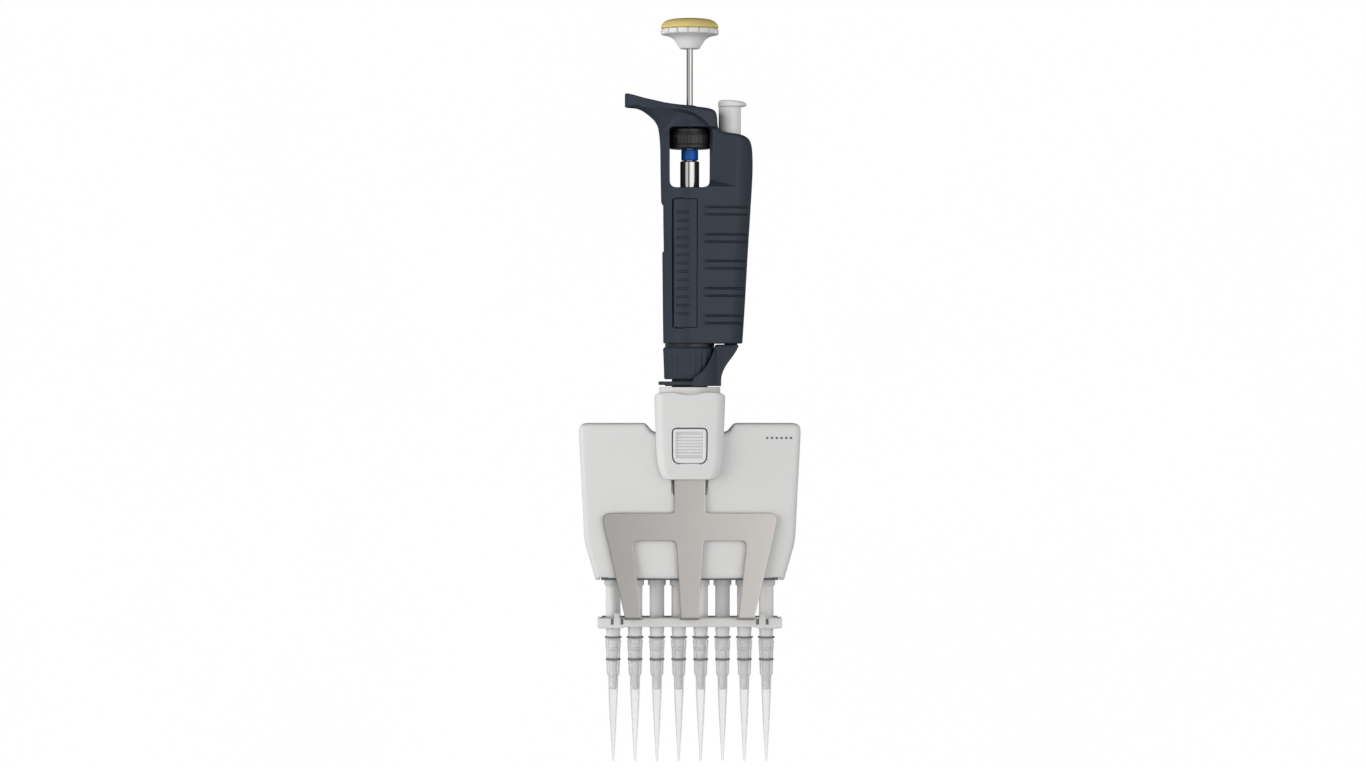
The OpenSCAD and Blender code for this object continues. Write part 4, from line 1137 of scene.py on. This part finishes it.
# a light tent around the object: bright to the left and the right, a dark gap at the camera, dim behind and above
wc = wt.nodes.new("ShaderNodeTexCoord")
ws = wt.nodes.new("ShaderNodeSeparateXYZ")
wt.links.new(wc.outputs["Generated"], ws.inputs[0])


def world_math(op, a, b=None, k=None):
    n = wt.nodes.new("ShaderNodeMath")
    n.operation = op
    wt.links.new(a, n.inputs[0])
    if b is not None:
        wt.links.new(b, n.inputs[1])
    if k is not None:
        n.inputs[1].default_value = k
    return n.outputs[0]


TENT = ((-180, 0.1), (-140, 0.12), (-118, 0.3), (-72, 0.225), (-45, 0.75), (-22, 0.85), (-15, 0.1), (-6, 0.1), (3, 1.25), (32, 1.45), (66, 0.712), (95, 0.45), (124, 0.14), (180, 0.1))
turn = world_math("ARCTAN2", ws.outputs["X"], world_math("MULTIPLY", ws.outputs["Y"], k=-1.0))
turn = world_math("ADD", world_math("MULTIPLY", turn, k=0.5 / math.pi), k=0.5)
wr = wt.nodes.new("ShaderNodeValToRGB")
while len(wr.color_ramp.elements) < len(TENT):
    wr.color_ramp.elements.new(0.5)
for e, (az, v) in zip(wr.color_ramp.elements, TENT):
    e.position = az / 360 + 0.5
for e, (az, v) in zip(wr.color_ramp.elements, TENT):
    e.color = (v, v, v, 1)
wt.links.new(turn, wr.inputs[0])
wh = wt.nodes.new("ShaderNodeValToRGB")
while len(wh.color_ramp.elements) < 4:
    wh.color_ramp.elements.new(0.5)
for e, (p, v) in zip(wh.color_ramp.elements, ((0.1, 0.34), (0.42, 0.95), (0.60, 0.98), (0.88, 0.22))):
    e.position = p
    e.color = (v, v, v, 1)
wt.links.new(world_math("ADD", world_math("MULTIPLY", ws.outputs["Z"], k=0.5), k=0.5), wh.inputs[0])
wt.links.new(world_math("MULTIPLY", wr.outputs["Color"], wh.outputs["Color"]), wb.inputs["Strength"])
wb.inputs["Color"].default_value = (1, 1, 1, 1)
wt.links.new(wb.outputs[0], wo.inputs[0])


def soft(name, azimuth, height, dist, w, h, watts, colour=(1, 1, 1)):
    """A soft box looking at the object. Azimuth 0 is at the camera, 90 on the right."""
    d = bpy.data.lights.new(name, "AREA")
    d.shape = "RECTANGLE"
    d.size, d.size_y = w, h
    d.energy = watts
    d.color = colour
    ob = bpy.data.objects.new(name, d)
    bpy.context.scene.collection.objects.link(ob)
    a = math.radians(azimuth)
    ob.location = (CX + dist * math.sin(a), -dist * math.cos(a), CZ + height)
    ob.rotation_euler = (Vector((CX, 0, CZ)) - ob.location).to_track_quat("-Z", "Y").to_euler()
    return ob


soft("box_right", 44, 0.10, 2.0, 1.7, 1.7, 9).visible_glossy = False
soft("box_left", -66, 0.06, 0.85, 0.70, 0.95, 7.0).visible_glossy = False
soft("rim_left", -140, 0.1, 1.3, 0.9, 1.3, 3.5).visible_glossy = False
soft("rim_right", 140, 0.1, 1.3, 0.9, 1.3, 3.5).visible_glossy = False

cam_data = bpy.data.cameras.new("camera")
cam = bpy.data.objects.new("camera", cam_data)
bpy.context.scene.collection.objects.link(cam)
cam.location = (CX, -DIST, CZ)
cam.rotation_euler = (math.pi / 2, 0, 0)
cam_data.sensor_width = 36
cam_data.lens = 36 * DIST / (1366 * 0.4117e-3)
cam_data.clip_start, cam_data.clip_end = 0.05, 30
bpy.context.scene.camera = cam
bpy.context.scene.view_settings.view_transform = "Standard"
